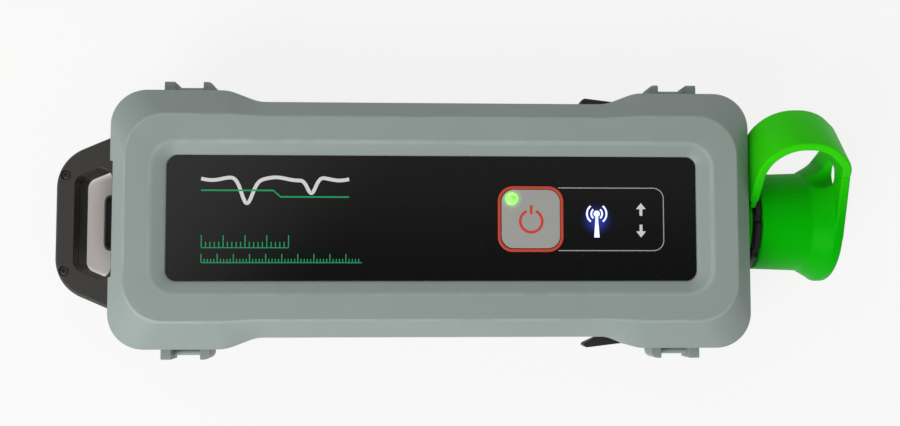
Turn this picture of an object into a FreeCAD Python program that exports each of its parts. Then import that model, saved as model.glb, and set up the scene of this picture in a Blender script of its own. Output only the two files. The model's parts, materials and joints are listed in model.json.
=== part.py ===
import FreeCAD, Part
import os
import Sketcher

# Handheld antenna analyzer: a two-part case with a sealing frame, a loop handle at
# one end, a capped coaxial test port at the other and a label with one key on top.
# Millimetres. X runs along the case from the handle to the port, Y across it and
# Z up from the back, on which it lies. The origin is the middle of the back.

Vector = FreeCAD.Vector
doc = FreeCAD.newDocument("antenna_analyzer")
sheet = doc.addObject("Spreadsheet::Sheet", "Sizes")
pieces = []

# Smallest change of volume, in cubic millimetres, that counts as a change.
TINY = 1e-6


class Measure:
    """A size with its number and its spreadsheet formula, so that sums keep both."""

    def __init__(self, number, text):
        self.number = number
        self.text = text

    def __add__(self, other):
        return Measure(self.number + number(other), f"({self.text} + {text(other)})")

    def __radd__(self, other):
        return Measure(number(other) + self.number, f"({text(other)} + {self.text})")

    def __sub__(self, other):
        return Measure(self.number - number(other), f"({self.text} - {text(other)})")

    def __rsub__(self, other):
        return Measure(number(other) - self.number, f"({text(other)} - {self.text})")

    def __mul__(self, other):
        return Measure(self.number * number(other), f"({self.text} * {text(other)})")

    def __rmul__(self, other):
        return Measure(number(other) * self.number, f"({text(other)} * {self.text})")

    def __truediv__(self, other):
        return Measure(self.number / number(other), f"({self.text} / {text(other)})")

    def __neg__(self):
        return Measure(-self.number, f"(0 - {self.text})")


def number(value):
    """The plain number of a size."""
    return value.number if isinstance(value, Measure) else value


def text(value):
    """The formula of a size, or the number itself in brackets."""
    return value.text if isinstance(value, Measure) else f"({value})"


def size(name, value):
    """Write one driving dimension in the next row of the sheet."""
    row = size.row
    sheet.set(f"A{row}", name)
    sheet.set(f"B{row}", str(value))
    sheet.setAlias(f"B{row}", name)
    size.row += 1
    return Measure(float(value), f"Sizes.{name}")


size.row = 1

# Case
case_length = size("case_length", 224)
bulge_width = size("bulge_width", 90)
waist_width = size("waist_width", 82)
case_depth = size("case_depth", 54)
lid_depth = size("lid_depth", 10)
seal_depth = size("seal_depth", 3)
bulge_length = size("bulge_length", 40.5)
slope_length = size("slope_length", 10.5)
corner_radius = size("corner_radius", 12.5)
bend_radius = size("bend_radius", 14)
wall = size("wall", 2.6)
floor = size("floor", 3)
back_rounding = size("back_rounding", 3)
seal_width = size("seal_width", 3.2)
seal_inset = size("seal_inset", 0.4)
skirt = size("skirt", 1.5)
crease_end = size("crease_end", 6.8)
crease_side = size("crease_side", 9.8)
crease_radius = size("crease_radius", 14)
crease_bulge = size("crease_bulge", 0.5)
crease_bend = size("crease_bend", 60)
slant_wall = size("slant_wall", 3.4)
grip_notch = size("grip_notch", 1.4)
grip_notch_width = size("grip_notch_width", 40.4)

# Label and its sloped seat
label_length = size("label_length", 182)
label_width = size("label_width", 42.6)
label_radius = size("label_radius", 3.5)
label_thickness = size("label_thickness", 1.2)
label_gap = size("label_gap", 0.1)
bevel_end = size("bevel_end", 5.8)
bevel_side = size("bevel_side", 5.1)
recess_radius = size("recess_radius", 9)
recess_depth = size("recess_depth", 2)
roof = size("roof", 2.2)

# Screws and bosses
boss_end = size("boss_end", 13)
boss_side = size("boss_side", 13)
boss_radius = size("boss_radius", 4.5)
boss_gap = size("boss_gap", 0.1)
screw_radius = size("screw_radius", 1.5)
screw_head_radius = size("screw_head_radius", 2.8)
screw_head_height = size("screw_head_height", 2.2)
screw_hole_gap = size("screw_hole_gap", 0.2)
screw_clamp = size("screw_clamp", 19)
screw_bite = size("screw_bite", 7)

# Strap lugs and strap hooks on the long sides
lug_end = size("lug_end", 26)
lug_length = size("lug_length", 17.4)
lug_post = size("lug_post", 3.8)
lug_post_rounding = size("lug_post_rounding", 2.4)
lug_reach = size("lug_reach", 3.8)
lug_height = size("lug_height", 11)
lug_bar_radius = size("lug_bar_radius", 1.1)
lug_bar_inset = size("lug_bar_inset", 2.4)
lug_slot = size("lug_slot", 1.5)
hook_reach = size("hook_reach", 4.6)
hook_start = size("hook_start", 2.4)
hook_length = size("hook_length", 5)
hook_foot = size("hook_foot", 5.4)
hook_tip = size("hook_tip", 1.7)
hook_height = size("hook_height", 7)
hook_drop = size("hook_drop", 10)
hook_gap = size("hook_gap", 0.08)
hook_root_gap = size("hook_root_gap", 0.4)
hook_tip_long = size("hook_tip_long", 1.2)

# Handle
handle_reach = size("handle_reach", 22)
handle_root_width = size("handle_root_width", 64)
handle_end_width = size("handle_end_width", 45)
handle_band = size("handle_band", 6.6)
handle_depth = size("handle_depth", 17.5)
handle_upper = size("handle_upper", 6.2)
handle_bottom = size("handle_bottom", 15.5)
handle_corner = size("handle_corner", 15)
handle_arm = size("handle_arm", 9.2)
handle_hole_corner = size("handle_hole_corner", 4)
handle_chamfer = size("handle_chamfer", 0.9)
handle_lip = size("handle_lip", 2.4)
handle_slot_gap = size("handle_slot_gap", 0.15)
handle_flange = size("handle_flange", 2.4)
handle_flange_wide = size("handle_flange_wide", 1.4)
handle_offset = size("handle_offset", -0.7)
handle_screw_y = size("handle_screw_y", 17.1)
handle_screw_radius = size("handle_screw_radius", 1)
handle_screw_head_radius = size("handle_screw_head_radius", 1.6)
handle_screw_head_height = size("handle_screw_head_height", 1)
handle_screw_sink = size("handle_screw_sink", 1.4)
handle_screw_floor = size("handle_screw_floor", 2)

# Rubber plug over the sockets beside the handle
plug_width = size("plug_width", 21)
plug_height = size("plug_height", 9.6)
plug_reach = size("plug_reach", 10.5)
plug_radius = size("plug_radius", 3.2)
plug_rounding = size("plug_rounding", 1.8)
plug_step = size("plug_step", 2)
plug_stem = size("plug_stem", 5)
plug_stem_radius = size("plug_stem_radius", 1.4)
plug_gap = size("plug_gap", 0.15)
plug_y = size("plug_y", 0.5)
plug_z = size("plug_z", 8.4)
plug_lift = size("plug_lift", 0.1)

# Test port
port_y = size("port_y", 0.5)
port_radius = size("port_radius", 14.3)
port_flange_step = size("port_flange_step", 1.5)
port_rim_gap = size("port_rim_gap", 0.2)
port_flange = size("port_flange", 2.8)
port_hub_radius = size("port_hub_radius", 8)
port_hub = size("port_hub", 3)
port_tail_radius = size("port_tail_radius", 5)
port_tail = size("port_tail", 6)
port_reach = size("port_reach", 20)
port_chamfer = size("port_chamfer", 1)
port_bore = size("port_bore", 8.2)
port_bore_depth = size("port_bore_depth", 17)
port_mouth_step = size("port_mouth_step", 3.2)
port_mouth_depth = size("port_mouth_depth", 8)
port_gap = size("port_gap", 0.2)
insulator_thickness = size("insulator_thickness", 4)
contact_radius = size("contact_radius", 3.4)
contact_gap = size("contact_gap", 0.3)
contact_bore = size("contact_bore", 1.8)
contact_bore_depth = size("contact_bore_depth", 12)
contact_inset = size("contact_inset", 6)
fit_gap = size("fit_gap", 0.05)
stack_gap = size("stack_gap", 0.1)
gasket_thickness = size("gasket_thickness", 0.9)
gasket_wall = size("gasket_wall", 3.4)
tether_thickness = size("tether_thickness", 2.2)
tether_wall = size("tether_wall", 4.7)
tether_tab = size("tether_tab", 2.5)
nut_thickness = size("nut_thickness", 2.4)
nut_wall = size("nut_wall", 3.1)

# Green rubber cap, its end plate and its strap
cap_gap = size("cap_gap", 0.3)
cap_wall = size("cap_wall", 2.9)
cap_taper = size("cap_taper", 0.6)
cap_length = size("cap_length", 27.8)
cap_edge = size("cap_edge", 0.7)
cap_flare = size("cap_flare", 3.9)
cap_flare_length = size("cap_flare_length", 9.9)
cap_rim = size("cap_rim", 4.3)
cap_end_wall = size("cap_end_wall", 4)
strap_width = size("strap_width", 20)
strap_thickness = size("strap_thickness", 3.2)
strap_rise = size("strap_rise", 12.9)
strap_run = size("strap_run", 9.6)
strap_elbow = size("strap_elbow", 4)
strap_root_bend = size("strap_root_bend", 13.4)
strap_top_bend = size("strap_top_bend", 14.4)
strap_elbow_bend = size("strap_elbow_bend", 8.8)
strap_turn = size("strap_turn", 45)
eyelet_radius = size("eyelet_radius", 4.8)
eyelet_gap = size("eyelet_gap", 0.2)
eyelet_margin = size("eyelet_margin", 2.1)
neck_root = size("neck_root", 9.4)
neck_inset = size("neck_inset", 2.2)

# Key and its switch
key_x = size("key_x", 33.35)
key_y = size("key_y", -0.2)
key_size = size("key_size", 20.2)
key_radius = size("key_radius", 4.2)
bezel_band = size("bezel_band", 1.1)
bezel_proud = size("bezel_proud", 0.5)
bezel_flange = size("bezel_flange", 1.6)
key_proud = size("key_proud", 0.4)
key_gap = size("key_gap", 0.2)
key_flange = size("key_flange", 1.2)
key_flange_wide = size("key_flange_wide", 1.4)
key_travel = size("key_travel", 0.8)
lamp_inset_x = size("lamp_inset_x", 3.55)
lamp_inset_y = size("lamp_inset_y", 3.1)
lamp_radius = size("lamp_radius", 2.3)
lamp_depth = size("lamp_depth", 3)
plunger_radius = size("plunger_radius", 1.7)
plunger_length = size("plunger_length", 2.4)
plunger_gap = size("plunger_gap", 0.08)
switch_size = size("switch_size", 6)
switch_grip = size("switch_grip", 1.2)
switch_clear = size("switch_clear", 0.2)

# Indicators, board and battery
wireless_x = size("wireless_x", 56.3)
wireless_y = size("wireless_y", -0.5)
arrow_x = size("arrow_x", 71.8)
transmit_y = size("transmit_y", 3.2)
receive_y = size("receive_y", -4.3)
wireless_pipe = size("wireless_pipe", 3)
arrow_pipe = size("arrow_pipe", 1.8)
pipe_flange = size("pipe_flange", 1)
pipe_gap = size("pipe_gap", 0.3)
lamp_chip = size("lamp_chip", 0.9)
lamp_chip_width = size("lamp_chip_width", 1.6)
board_length = size("board_length", 184)
board_width = size("board_width", 60)
board_thickness = size("board_thickness", 1.6)
board_corner = size("board_corner", 3)
board_rise = size("board_rise", 1)
post_end = size("post_end", 6)
post_side = size("post_side", 5)
post_radius = size("post_radius", 3)
board_screw_radius = size("board_screw_radius", 1.1)
board_screw_grip = size("board_screw_grip", 5)
board_screw_head_radius = size("board_screw_head_radius", 2.2)
board_screw_head = size("board_screw_head", 1.6)
board_screw_gap = size("board_screw_gap", 0.3)
radio_x = size("radio_x", 28)
radio_length = size("radio_length", 52)
radio_width = size("radio_width", 42)
radio_height = size("radio_height", 7)
radio_lead_radius = size("radio_lead_radius", 1.8)
radio_lead_bend = size("radio_lead_bend", 5)
radio_lead_inset = size("radio_lead_inset", 6)
processor_x = size("processor_x", -50)
processor_length = size("processor_length", 44)
processor_width = size("processor_width", 34)
processor_height = size("processor_height", 3.2)
wireless_module_x = size("wireless_module_x", 48)
wireless_module_y = size("wireless_module_y", -24)
wireless_module_length = size("wireless_module_length", 17)
wireless_module_width = size("wireless_module_width", 12)
wireless_module_height = size("wireless_module_height", 2.2)
can_rounding = size("can_rounding", 1)
tray_x = size("tray_x", -8)
tray_length = size("tray_length", 137)
tray_width = size("tray_width", 42)
tray_height = size("tray_height", 12)
tray_wall = size("tray_wall", 1.6)
cell_length = size("cell_length", 65)
cell_radius = size("cell_radius", 9.1)
cell_gap = size("cell_gap", 0.2)
cell_spacing = size("cell_spacing", 1)

# Sockets behind the plug
socket_board_length = size("socket_board_length", 20)
socket_board_width = size("socket_board_width", 28)
socket_board_thickness = size("socket_board_thickness", 1.4)
socket_board_gap = size("socket_board_gap", 0.3)
socket_gap = size("socket_gap", 1.6)
data_socket_length = size("data_socket_length", 9)
data_socket_width = size("data_socket_width", 7)
data_socket_height = size("data_socket_height", 5)
data_socket_y = size("data_socket_y", -4)
charging_socket_length = size("charging_socket_length", 12)
charging_socket_width = size("charging_socket_width", 7)
charging_socket_y = size("charging_socket_y", 4.3)
charging_bore = size("charging_bore", 2.7)
charging_bore_depth = size("charging_bore_depth", 8)

doc.recompute()

# Places that several pieces share
end_x = case_length / 2
inner_end_x = end_x - wall
bulge_start = end_x - bulge_length
waist_end = bulge_start - slope_length
tub_depth = case_depth - lid_depth - seal_depth
lid_z = tub_depth + seal_depth
ledge_z = case_depth - recess_depth - label_thickness
roof_z = ledge_z - roof
label_top = ledge_z + label_thickness
board_top = tub_depth + board_rise
board_z = board_top - board_thickness
boss_x = end_x - boss_end
boss_y = bulge_width / 2 - boss_side
screw_seat = tub_depth - screw_clamp
screw_grip = screw_clamp + screw_bite
post_x = board_length / 2 - post_end
post_y = board_width / 2 - post_side
lug_x = end_x - lug_end
handle_top = handle_bottom + handle_depth
handle_split = handle_top - handle_upper
key_half = key_size / 2
key_low = roof_z - key_flange - key_gap
bezel_half = key_half + key_gap + bezel_band
port_flange_radius = port_radius + port_flange_step
port_z = tub_depth - port_rim_gap - port_flange_radius
port_tip = end_x + port_reach
port_back = inner_end_x - stack_gap - port_flange
port_tail_end = port_back - port_hub - port_tail
gasket_x = end_x + stack_gap
tether_x = gasket_x + gasket_thickness + stack_gap
nut_x = tether_x + tether_thickness + stack_gap
tether_radius = port_radius + tether_wall
tab_height = tether_radius + tether_tab
cap_start = nut_x + nut_thickness + cap_gap
cap_finish = cap_start + cap_length
cap_bore = port_radius + cap_gap
cap_outer = cap_bore + cap_wall
cap_end_outer = cap_outer + cap_taper
cap_disc_radius = cap_end_outer + cap_flare
eyelet_height = cap_end_outer + eyelet_gap + eyelet_radius
neck_height = eyelet_height + eyelet_radius + eyelet_margin
socket_x = -end_x - plug_lift + plug_stem + socket_gap
socket_floor = floor + socket_board_gap + socket_board_thickness
indicators = (
    (wireless_x, wireless_y, wireless_pipe),
    (arrow_x, transmit_y, arrow_pipe),
    (arrow_x, receive_y, arrow_pipe),
)


def bind(thing, name, value):
    """Tie one property of an object to a size."""
    if isinstance(value, Measure):
        thing.setExpression(name, value.text)
    else:
        thing.setExpression(name, text(value))


def keep(thing, label):
    """Name a finished piece and put it on the list that is written out."""
    thing.Label = label
    pieces.append(thing)
    return thing


class Body:
    """One PartDesign body and the features that build it."""

    def __init__(self, label):
        self.body = doc.addObject("PartDesign::Body", label)
        self.label = label
        self.volume = 0.0

    def plane(self, role):
        return [part for part in self.body.Origin.OriginFeatures if part.Role == role][0]

    def sketch(self, offset, role):
        sketch = self.body.newObject("Sketcher::SketchObject", f"{self.label}_sketch")
        sketch.AttachmentSupport = [(self.plane(role), "")]
        sketch.MapMode = "FlatFace"
        bind(sketch, "AttachmentOffset.Base.z", offset)
        return sketch

    def outline(self, corners, offset=0, role="XY_Plane"):
        """A closed sketch of straight sides, with a radius at each corner that has one."""
        sketch = self.sketch(offset, role)
        add_outline(sketch, corners)
        return sketch

    def outlines(self, loops, offset=0, role="XY_Plane"):
        """Several closed loops in one sketch."""
        sketch = self.sketch(offset, role)
        for corners in loops:
            add_outline(sketch, corners)
        return sketch

    def circles(self, centres, radius, offset=0, role="XY_Plane"):
        """Equal circles, each centred by its own two sizes."""
        sketch = self.sketch(offset, role)
        for x, y in centres:
            index = sketch.addGeometry(
                Part.Circle(Vector(number(x), number(y), 0), Vector(0, 0, 1), number(radius)), False
            )
            constrain(sketch, ("Radius", index), radius)
            constrain(sketch, ("DistanceX", -1, 1, index, 3), x)
            constrain(sketch, ("DistanceY", -1, 1, index, 3), y)
        return sketch

    def path(self, corners, role="XY_Plane"):
        """An open sketch of straight runs, with a bend at each corner that has one."""
        sketch = self.sketch(0, role)
        add_outline(sketch, corners, closed=False)
        return sketch

    def feature(self, kind, sketch):
        feature = self.body.newObject(f"PartDesign::{kind}", f"{self.label}_{kind.lower()}")
        feature.Profile = sketch
        return feature

    def settle(self, feature, removes=False):
        """Recompute, and stop if the feature left the solid as it was."""
        doc.recompute()
        change = self.body.Shape.Volume - self.volume
        if (change > -TINY) if removes else (change < TINY):
            raise RuntimeError(f"{self.label}: {feature.Name} changed nothing")
        self.volume = self.body.Shape.Volume
        return feature

    def pad(self, sketch, length, reverse=False):
        feature = self.feature("Pad", sketch)
        bind(feature, "Length", length)
        feature.Reversed = reverse
        return self.settle(feature)

    def pocket(self, sketch, length, reverse=False):
        feature = self.feature("Pocket", sketch)
        bind(feature, "Length", length)
        feature.Reversed = reverse
        return self.settle(feature, removes=True)

    def loft(self, first, second, removes=False):
        feature = self.feature("SubtractiveLoft" if removes else "AdditiveLoft", first)
        feature.Sections = [second]
        feature.Ruled = True
        return self.settle(feature, removes)

    def revolve(self, sketch, removes=False):
        feature = self.feature("Groove" if removes else "Revolution", sketch)
        feature.ReferenceAxis = (sketch, ["H_Axis"])
        feature.Angle = 360
        return self.settle(feature, removes)

    def pipe(self, sketch, path):
        """A section carried along a path."""
        feature = self.feature("AdditivePipe", sketch)
        feature.Spine = (path, [])
        return self.settle(feature)

    def soften(self, kind, value, chosen):
        """Round or chamfer every edge that the test picks."""
        base = self.body.Tip
        names = [f"Edge{i + 1}" for i, edge in enumerate(base.Shape.Edges) if chosen(edge.BoundBox)]
        feature = self.body.newObject(f"PartDesign::{kind}", f"{self.label}_{kind.lower()}")
        feature.Base = (base, names)
        bind(feature, "Radius" if kind == "Fillet" else "Size", value)
        return self.settle(feature, removes=True)

    def turn(self, degrees):
        """Turn the piece about its X axis."""
        turned = FreeCAD.Rotation(Vector(1, 0, 0), number(degrees))
        self.body.Placement = FreeCAD.Placement(Vector(), turned)
        bind(self.body, ".Placement.Rotation.Angle", degrees)
        return self

    def move(self, x=0, y=0, z=0):
        for axis, value in (("x", x), ("y", y), ("z", z)):
            if isinstance(value, Measure) or value:
                bind(self.body, f".Placement.Base.{axis}", value)
        return self

    def done(self):
        return keep(self.body, self.label)


def constrain(sketch, words, value):
    """Add one dimension to a sketch and tie it to its size."""
    index = sketch.addConstraint(Sketcher.Constraint(*words, number(value)))
    bind(sketch, f"Constraints[{index}]", value)


def add_outline(sketch, corners, closed=True):
    """Sides from corner to corner, each corner held by its two distances from the origin."""
    first = sketch.GeometryCount
    count = len(corners)
    sides = count if closed else count - 1
    spots = [Vector(number(x), number(y), 0) for x, y, _ in corners]
    sketch.addGeometry(
        [Part.LineSegment(spots[i], spots[(i + 1) % count]) for i in range(sides)], False
    )
    for i in range(sides if closed else sides - 1):
        following = first + (i + 1) % count
        sketch.addConstraint(Sketcher.Constraint("Coincident", first + i, 2, following, 1))
    for i, (x, y, _) in enumerate(corners):
        side, end = (first + i, 1) if i < sides else (first + i - 1, 2)
        constrain(sketch, ("DistanceX", -1, 1, side, end), x)
        constrain(sketch, ("DistanceY", -1, 1, side, end), y)
    for i, (_, _, radius) in enumerate(corners):
        if not number(radius):
            continue
        before = sketch.GeometryCount
        sketch.fillet(first + i, 1, number(radius), True, True)
        arcs = [
            j
            for j in range(before, sketch.GeometryCount)
            if sketch.Geometry[j].TypeId == "Part::GeomArcOfCircle"
        ]
        constrain(sketch, ("Radius", arcs[0]), radius)


def rectangle(half_x, half_y, radius=0, x=0, y=0):
    """Corners of a rectangle about a centre, anticlockwise."""
    return [
        (x + half_x, y + half_y, radius),
        (x - half_x, y + half_y, radius),
        (x - half_x, y - half_y, radius),
        (x + half_x, y - half_y, radius),
    ]


def case_outline(half_length, half_bulge, half_waist, corner, bend, inset=0):
    """The case seen from above: two wide ends and a waist, alike in all four quarters."""
    wide = bulge_start + inset
    narrow = waist_end + inset
    quarter = [
        (half_length, half_bulge, corner),
        (wide, half_bulge, bend),
        (narrow, half_waist, bend),
    ]
    corners = list(quarter)
    corners += [(-x, y, r) for x, y, r in reversed(quarter)]
    corners += [(-x, -y, r) for x, y, r in quarter]
    corners += [(x, -y, r) for x, y, r in reversed(quarter)]
    return corners


def four(x, y):
    """The same place in all four quarters."""
    return [(x, y), (-x, y), (-x, -y), (x, -y)]


def box(name, low, sizes):
    """A Part box from its lowest corner and its three sizes."""
    thing = doc.addObject("Part::Box", name)
    for property_name, value in zip(("Length", "Width", "Height"), sizes):
        bind(thing, property_name, value)
    for axis, value in zip("xyz", low):
        bind(thing, f".Placement.Base.{axis}", value)
    return thing


AXIS_TURNS = {
    "x": FreeCAD.Rotation(Vector(0, 1, 0), 90),
    "y": FreeCAD.Rotation(Vector(1, 0, 0), -90),
    "z": FreeCAD.Rotation(),
}


def cylinder(name, start, radius, length, axis="z"):
    """A Part cylinder from the middle of its first face, along one axis."""
    thing = doc.addObject("Part::Cylinder", name)
    thing.Placement = FreeCAD.Placement(Vector(), AXIS_TURNS[axis])
    bind(thing, "Radius", radius)
    bind(thing, "Height", length)
    for letter, value in zip("xyz", start):
        bind(thing, f".Placement.Base.{letter}", value)
    return thing


def cut(name, base, tools):
    """A base with one or more tools taken away."""
    tool = tools[0] if len(tools) == 1 else join(f"{name}_tools", tools)
    thing = doc.addObject("Part::Cut", name)
    thing.Base = base
    thing.Tool = tool
    return thing


def join(name, parts):
    """Parts fused into one solid, or kept as a group where they lie apart."""
    thing = doc.addObject("Part::MultiFuse", name)
    thing.Shapes = parts
    return thing


def inner_outline():
    """The case outline one wall further in."""
    return case_outline(
        inner_end_x,
        bulge_width / 2 - wall,
        waist_width / 2 - wall,
        corner_radius - wall,
        0,
        wall / 4,
    )


def grip_notch_outline(inset=0):
    """The shallow finger notch in the end beside the handle, from above."""
    return rectangle(grip_notch + inset, grip_notch_width / 2, grip_notch / 2, -end_x)


# Rear case: a deep tub with screw bosses, strap lugs and an opening at each end
def make_rear_case():
    tub = Body("rear_case")
    outer = case_outline(end_x, bulge_width / 2, waist_width / 2, corner_radius, bend_radius)
    tub.pad(tub.outline(outer), tub_depth)
    tub.soften("Fillet", back_rounding, lambda bounds: bounds.ZMax < 0.01)
    tub.pocket(tub.outline(inner_outline(), tub_depth), tub_depth - floor)
    bosses = four(boss_x, boss_y)
    tub.pad(tub.circles(bosses, boss_radius, floor), tub_depth - floor)
    head_hole = screw_head_radius + screw_hole_gap
    tub.pocket(tub.circles(bosses, head_hole), screw_seat, reverse=True)
    shank_hole = screw_radius + screw_hole_gap
    tub.pocket(tub.circles(bosses, shank_hole), tub_depth + floor, reverse=True)
    add_lug_posts(tub)
    notch = tub.outline(grip_notch_outline(), tub_depth)
    tub.pocket(notch, tub_depth - handle_top)
    half_slot = handle_depth / 2 + handle_slot_gap
    handle_slot = rectangle(
        handle_root_width / 2 + handle_slot_gap, half_slot, 0, handle_offset,
        handle_bottom + handle_depth / 2,
    )
    plug_slot = rectangle(
        plug_width / 2 - plug_step + plug_gap, plug_height / 2 - plug_step + plug_gap,
        plug_stem_radius + plug_gap, plug_y, plug_z,
    )
    for slot in (handle_slot, plug_slot):
        sketch = tub.outline(slot, -end_x - skirt, "YZ_Plane")
        tub.pocket(sketch, wall + 2 * skirt, reverse=True)
    port_hole = tub.circles([(port_y, port_z)], port_radius + port_gap, end_x + skirt, "YZ_Plane")
    tub.pocket(port_hole, wall + 2 * skirt)
    tub.done()


def add_lug_posts(tub):
    """Two posts for each strap bar, and a slot in the wall behind the bar."""
    low = bulge_width / 2 - wall
    high = bulge_width / 2 + lug_reach
    posts = []
    slots = []
    for side in (1, -1):
        for end in (1, -1):
            near = lug_x - lug_length / 2
            far = lug_x + lug_length / 2
            posts.append(
                [
                    (end * near, side * low, 0),
                    (end * near, side * high, lug_post_rounding),
                    (end * (near + lug_post), side * high, 0),
                    (end * (near + lug_post), side * low, 0),
                ]
            )
            posts.append(
                [
                    (end * (far - lug_post), side * low, 0),
                    (end * (far - lug_post), side * high, 0),
                    (end * far, side * high, 0),
                    (end * far, side * low, 0),
                ]
            )
            slots.append(
                [
                    (end * (near + lug_post), side * (bulge_width / 2 - lug_slot), 0),
                    (end * (near + lug_post), side * high, 0),
                    (end * (far - lug_post), side * high, 0),
                    (end * (far - lug_post), side * (bulge_width / 2 - lug_slot), 0),
                ]
            )
    tub.pad(tub.outlines(posts, tub_depth), lug_height, reverse=True)
    tub.pocket(tub.outlines(slots, tub_depth), lug_height)


# Front cover: the sloped lid with the sunk label seat
def make_front_cover():
    lid = Body("front_cover")
    outer = case_outline(end_x, bulge_width / 2, waist_width / 2, corner_radius, bend_radius)
    lid.pad(lid.outline(outer, lid_z), skirt)
    half_crease = bulge_width / 2 - crease_side
    crease = case_outline(
        end_x - crease_end,
        half_crease + crease_bulge / 2,
        half_crease - crease_bulge / 2,
        crease_radius,
        crease_bend,
    )
    lid.loft(lid.outline(outer, lid_z + skirt), lid.outline(crease, case_depth))
    slope = (roof_z - lid_z - skirt) / (lid_depth - skirt)
    cavity_top = case_outline(
        end_x - slope * crease_end - slant_wall,
        bulge_width / 2 - slope * crease_side - slant_wall,
        waist_width / 2 - slope * (waist_width / 2 - half_crease) - slant_wall,
        corner_radius - wall,
        0,
        wall / 4,
    )
    lid.loft(lid.outline(inner_outline(), lid_z), lid.outline(cavity_top, roof_z), removes=True)
    seat_length = label_length / 2 + label_gap
    seat_width = label_width / 2 + label_gap
    seat = rectangle(seat_length, seat_width, label_radius)
    rim = rectangle(label_length / 2 + bevel_end, label_width / 2 + bevel_side, recess_radius)
    bevel_low = case_depth - recess_depth
    lid.loft(lid.outline(rim, case_depth), lid.outline(seat, bevel_low), removes=True)
    lid.pocket(lid.outline(seat, bevel_low), label_thickness)
    opening = bezel_half + label_gap
    key_hole = rectangle(opening, opening, key_radius + bezel_band, key_x, key_y)
    lid.pocket(lid.outline(key_hole, ledge_z), 2 * roof)
    for x, y, radius in indicators:
        lid.pocket(lid.circles([(x, y)], radius + label_gap, ledge_z), 2 * roof)
    lid.pocket(lid.outline(grip_notch_outline(), lid_z), lid_depth, reverse=True)
    bosses = four(boss_x, boss_y)
    posts = four(post_x, post_y)
    lid.pad(lid.circles(bosses, boss_radius, tub_depth + boss_gap), roof_z - tub_depth)
    lid.pad(lid.circles(posts, post_radius, board_top), roof_z - board_top + roof / 2)
    lid.pocket(lid.circles(bosses, screw_radius, tub_depth), screw_bite, reverse=True)
    lid.pocket(
        lid.circles(posts, board_screw_radius, board_top), board_screw_grip, reverse=True
    )
    lid.done()


# Black sealing frame between the two case parts
def make_seal_frame():
    frame = Body("seal_frame")
    outer = case_outline(
        end_x - seal_inset,
        bulge_width / 2 - seal_inset,
        waist_width / 2 - seal_inset,
        corner_radius - seal_inset,
        bend_radius,
    )
    frame.pad(frame.outline(outer, tub_depth), seal_depth)
    inset = seal_inset + seal_width
    inner = case_outline(
        end_x - inset,
        bulge_width / 2 - inset,
        waist_width / 2 - inset,
        corner_radius - inset,
        0,
        seal_width / 4,
    )
    frame.pocket(frame.outline(inner, lid_z), seal_depth)
    frame.pocket(frame.outline(grip_notch_outline(seal_inset), lid_z), seal_depth)
    frame.done()


# Black strap hooks on the slopes between the waist and the wide port end
def make_strap_hooks():
    rise = (bulge_width - waist_width) / 2 / slope_length
    edge = waist_width / 2
    tip_x = waist_end - hook_length
    tip_y = edge + hook_reach
    hooks = []
    for name, side in (("hook_left", 1), ("hook_right", -1)):
        hook = Body(name)
        corners = [
            (waist_end + hook_start, side * (edge + rise * hook_start + hook_gap), 0),
            (
                waist_end + hook_start + hook_foot,
                side * (edge + rise * (hook_start + hook_foot) + hook_gap),
                0,
            ),
            (tip_x, side * tip_y, 0),
            (tip_x - hook_tip_long, side * (tip_y - hook_tip / 2), 0),
            (tip_x - hook_tip_long / 2, side * (tip_y - hook_tip), 0),
            (waist_end, side * (edge + hook_root_gap), 0),
        ]
        hook.pad(hook.outline(corners, tub_depth - hook_drop - hook_height), hook_height)
        hooks.append(hook.body)
    keep(join("strap_hooks_group", hooks), "strap_hooks")


# Screws from the back, in deep holes
def screw(name, place, radius, length, head_radius, head_height):
    """A shank that stands up from its head, whose lower face is at the place."""
    x, y, z = place
    head = cylinder(f"{name}_head", place, head_radius, head_height)
    shank = cylinder(f"{name}_shank", (x, y, z + head_height), radius, length)
    return join(name, [head, shank])


def make_case_screws():
    screws = []
    for i, (x, y) in enumerate(four(boss_x, boss_y)):
        screws.append(
            screw(
                f"case_screw_{i + 1}",
                (x, y, screw_seat - screw_head_height),
                screw_radius - fit_gap,
                screw_grip - boss_gap,
                screw_head_radius,
                screw_head_height,
            )
        )
    keep(join("case_screws_group", screws), "case_screws")


# Round bars across the strap lugs
def make_lug_bars():
    bars = []
    length = lug_length - 2 * lug_post
    for i, (x, y) in enumerate(four(lug_x, bulge_width / 2 + lug_reach - lug_bar_inset)):
        start = (x - length / 2, y, tub_depth - lug_height / 2)
        bars.append(cylinder(f"lug_bar_{i + 1}", start, lug_bar_radius, length, "x"))
    keep(join("lug_bars_group", bars), "strap_lug_bars")


# Loop handle in two moulded halves, trapped in the end wall by a flange
def handle_loop():
    """Outer corners of the loop from above."""
    half_root = handle_root_width / 2
    half_end = handle_end_width / 2
    far = -end_x - handle_reach
    return [
        (-end_x, handle_offset + half_root, 0),
        (far, handle_offset + half_end, handle_corner),
        (far, handle_offset - half_end, handle_corner),
        (-end_x, handle_offset - half_root, 0),
    ]


def handle_hole():
    """Corners of the grip opening."""
    lean = (handle_root_width - handle_end_width) / 2 / handle_reach
    near = -end_x - handle_lip
    far = -end_x - handle_reach + handle_band
    near_half = handle_root_width / 2 - handle_lip * lean - handle_arm
    far_half = handle_end_width / 2 + handle_band * lean - handle_arm
    return [
        (near, handle_offset + near_half, handle_hole_corner),
        (far, handle_offset + far_half, handle_hole_corner),
        (far, handle_offset - far_half, handle_hole_corner),
        (near, handle_offset - near_half, handle_hole_corner),
    ]


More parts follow.
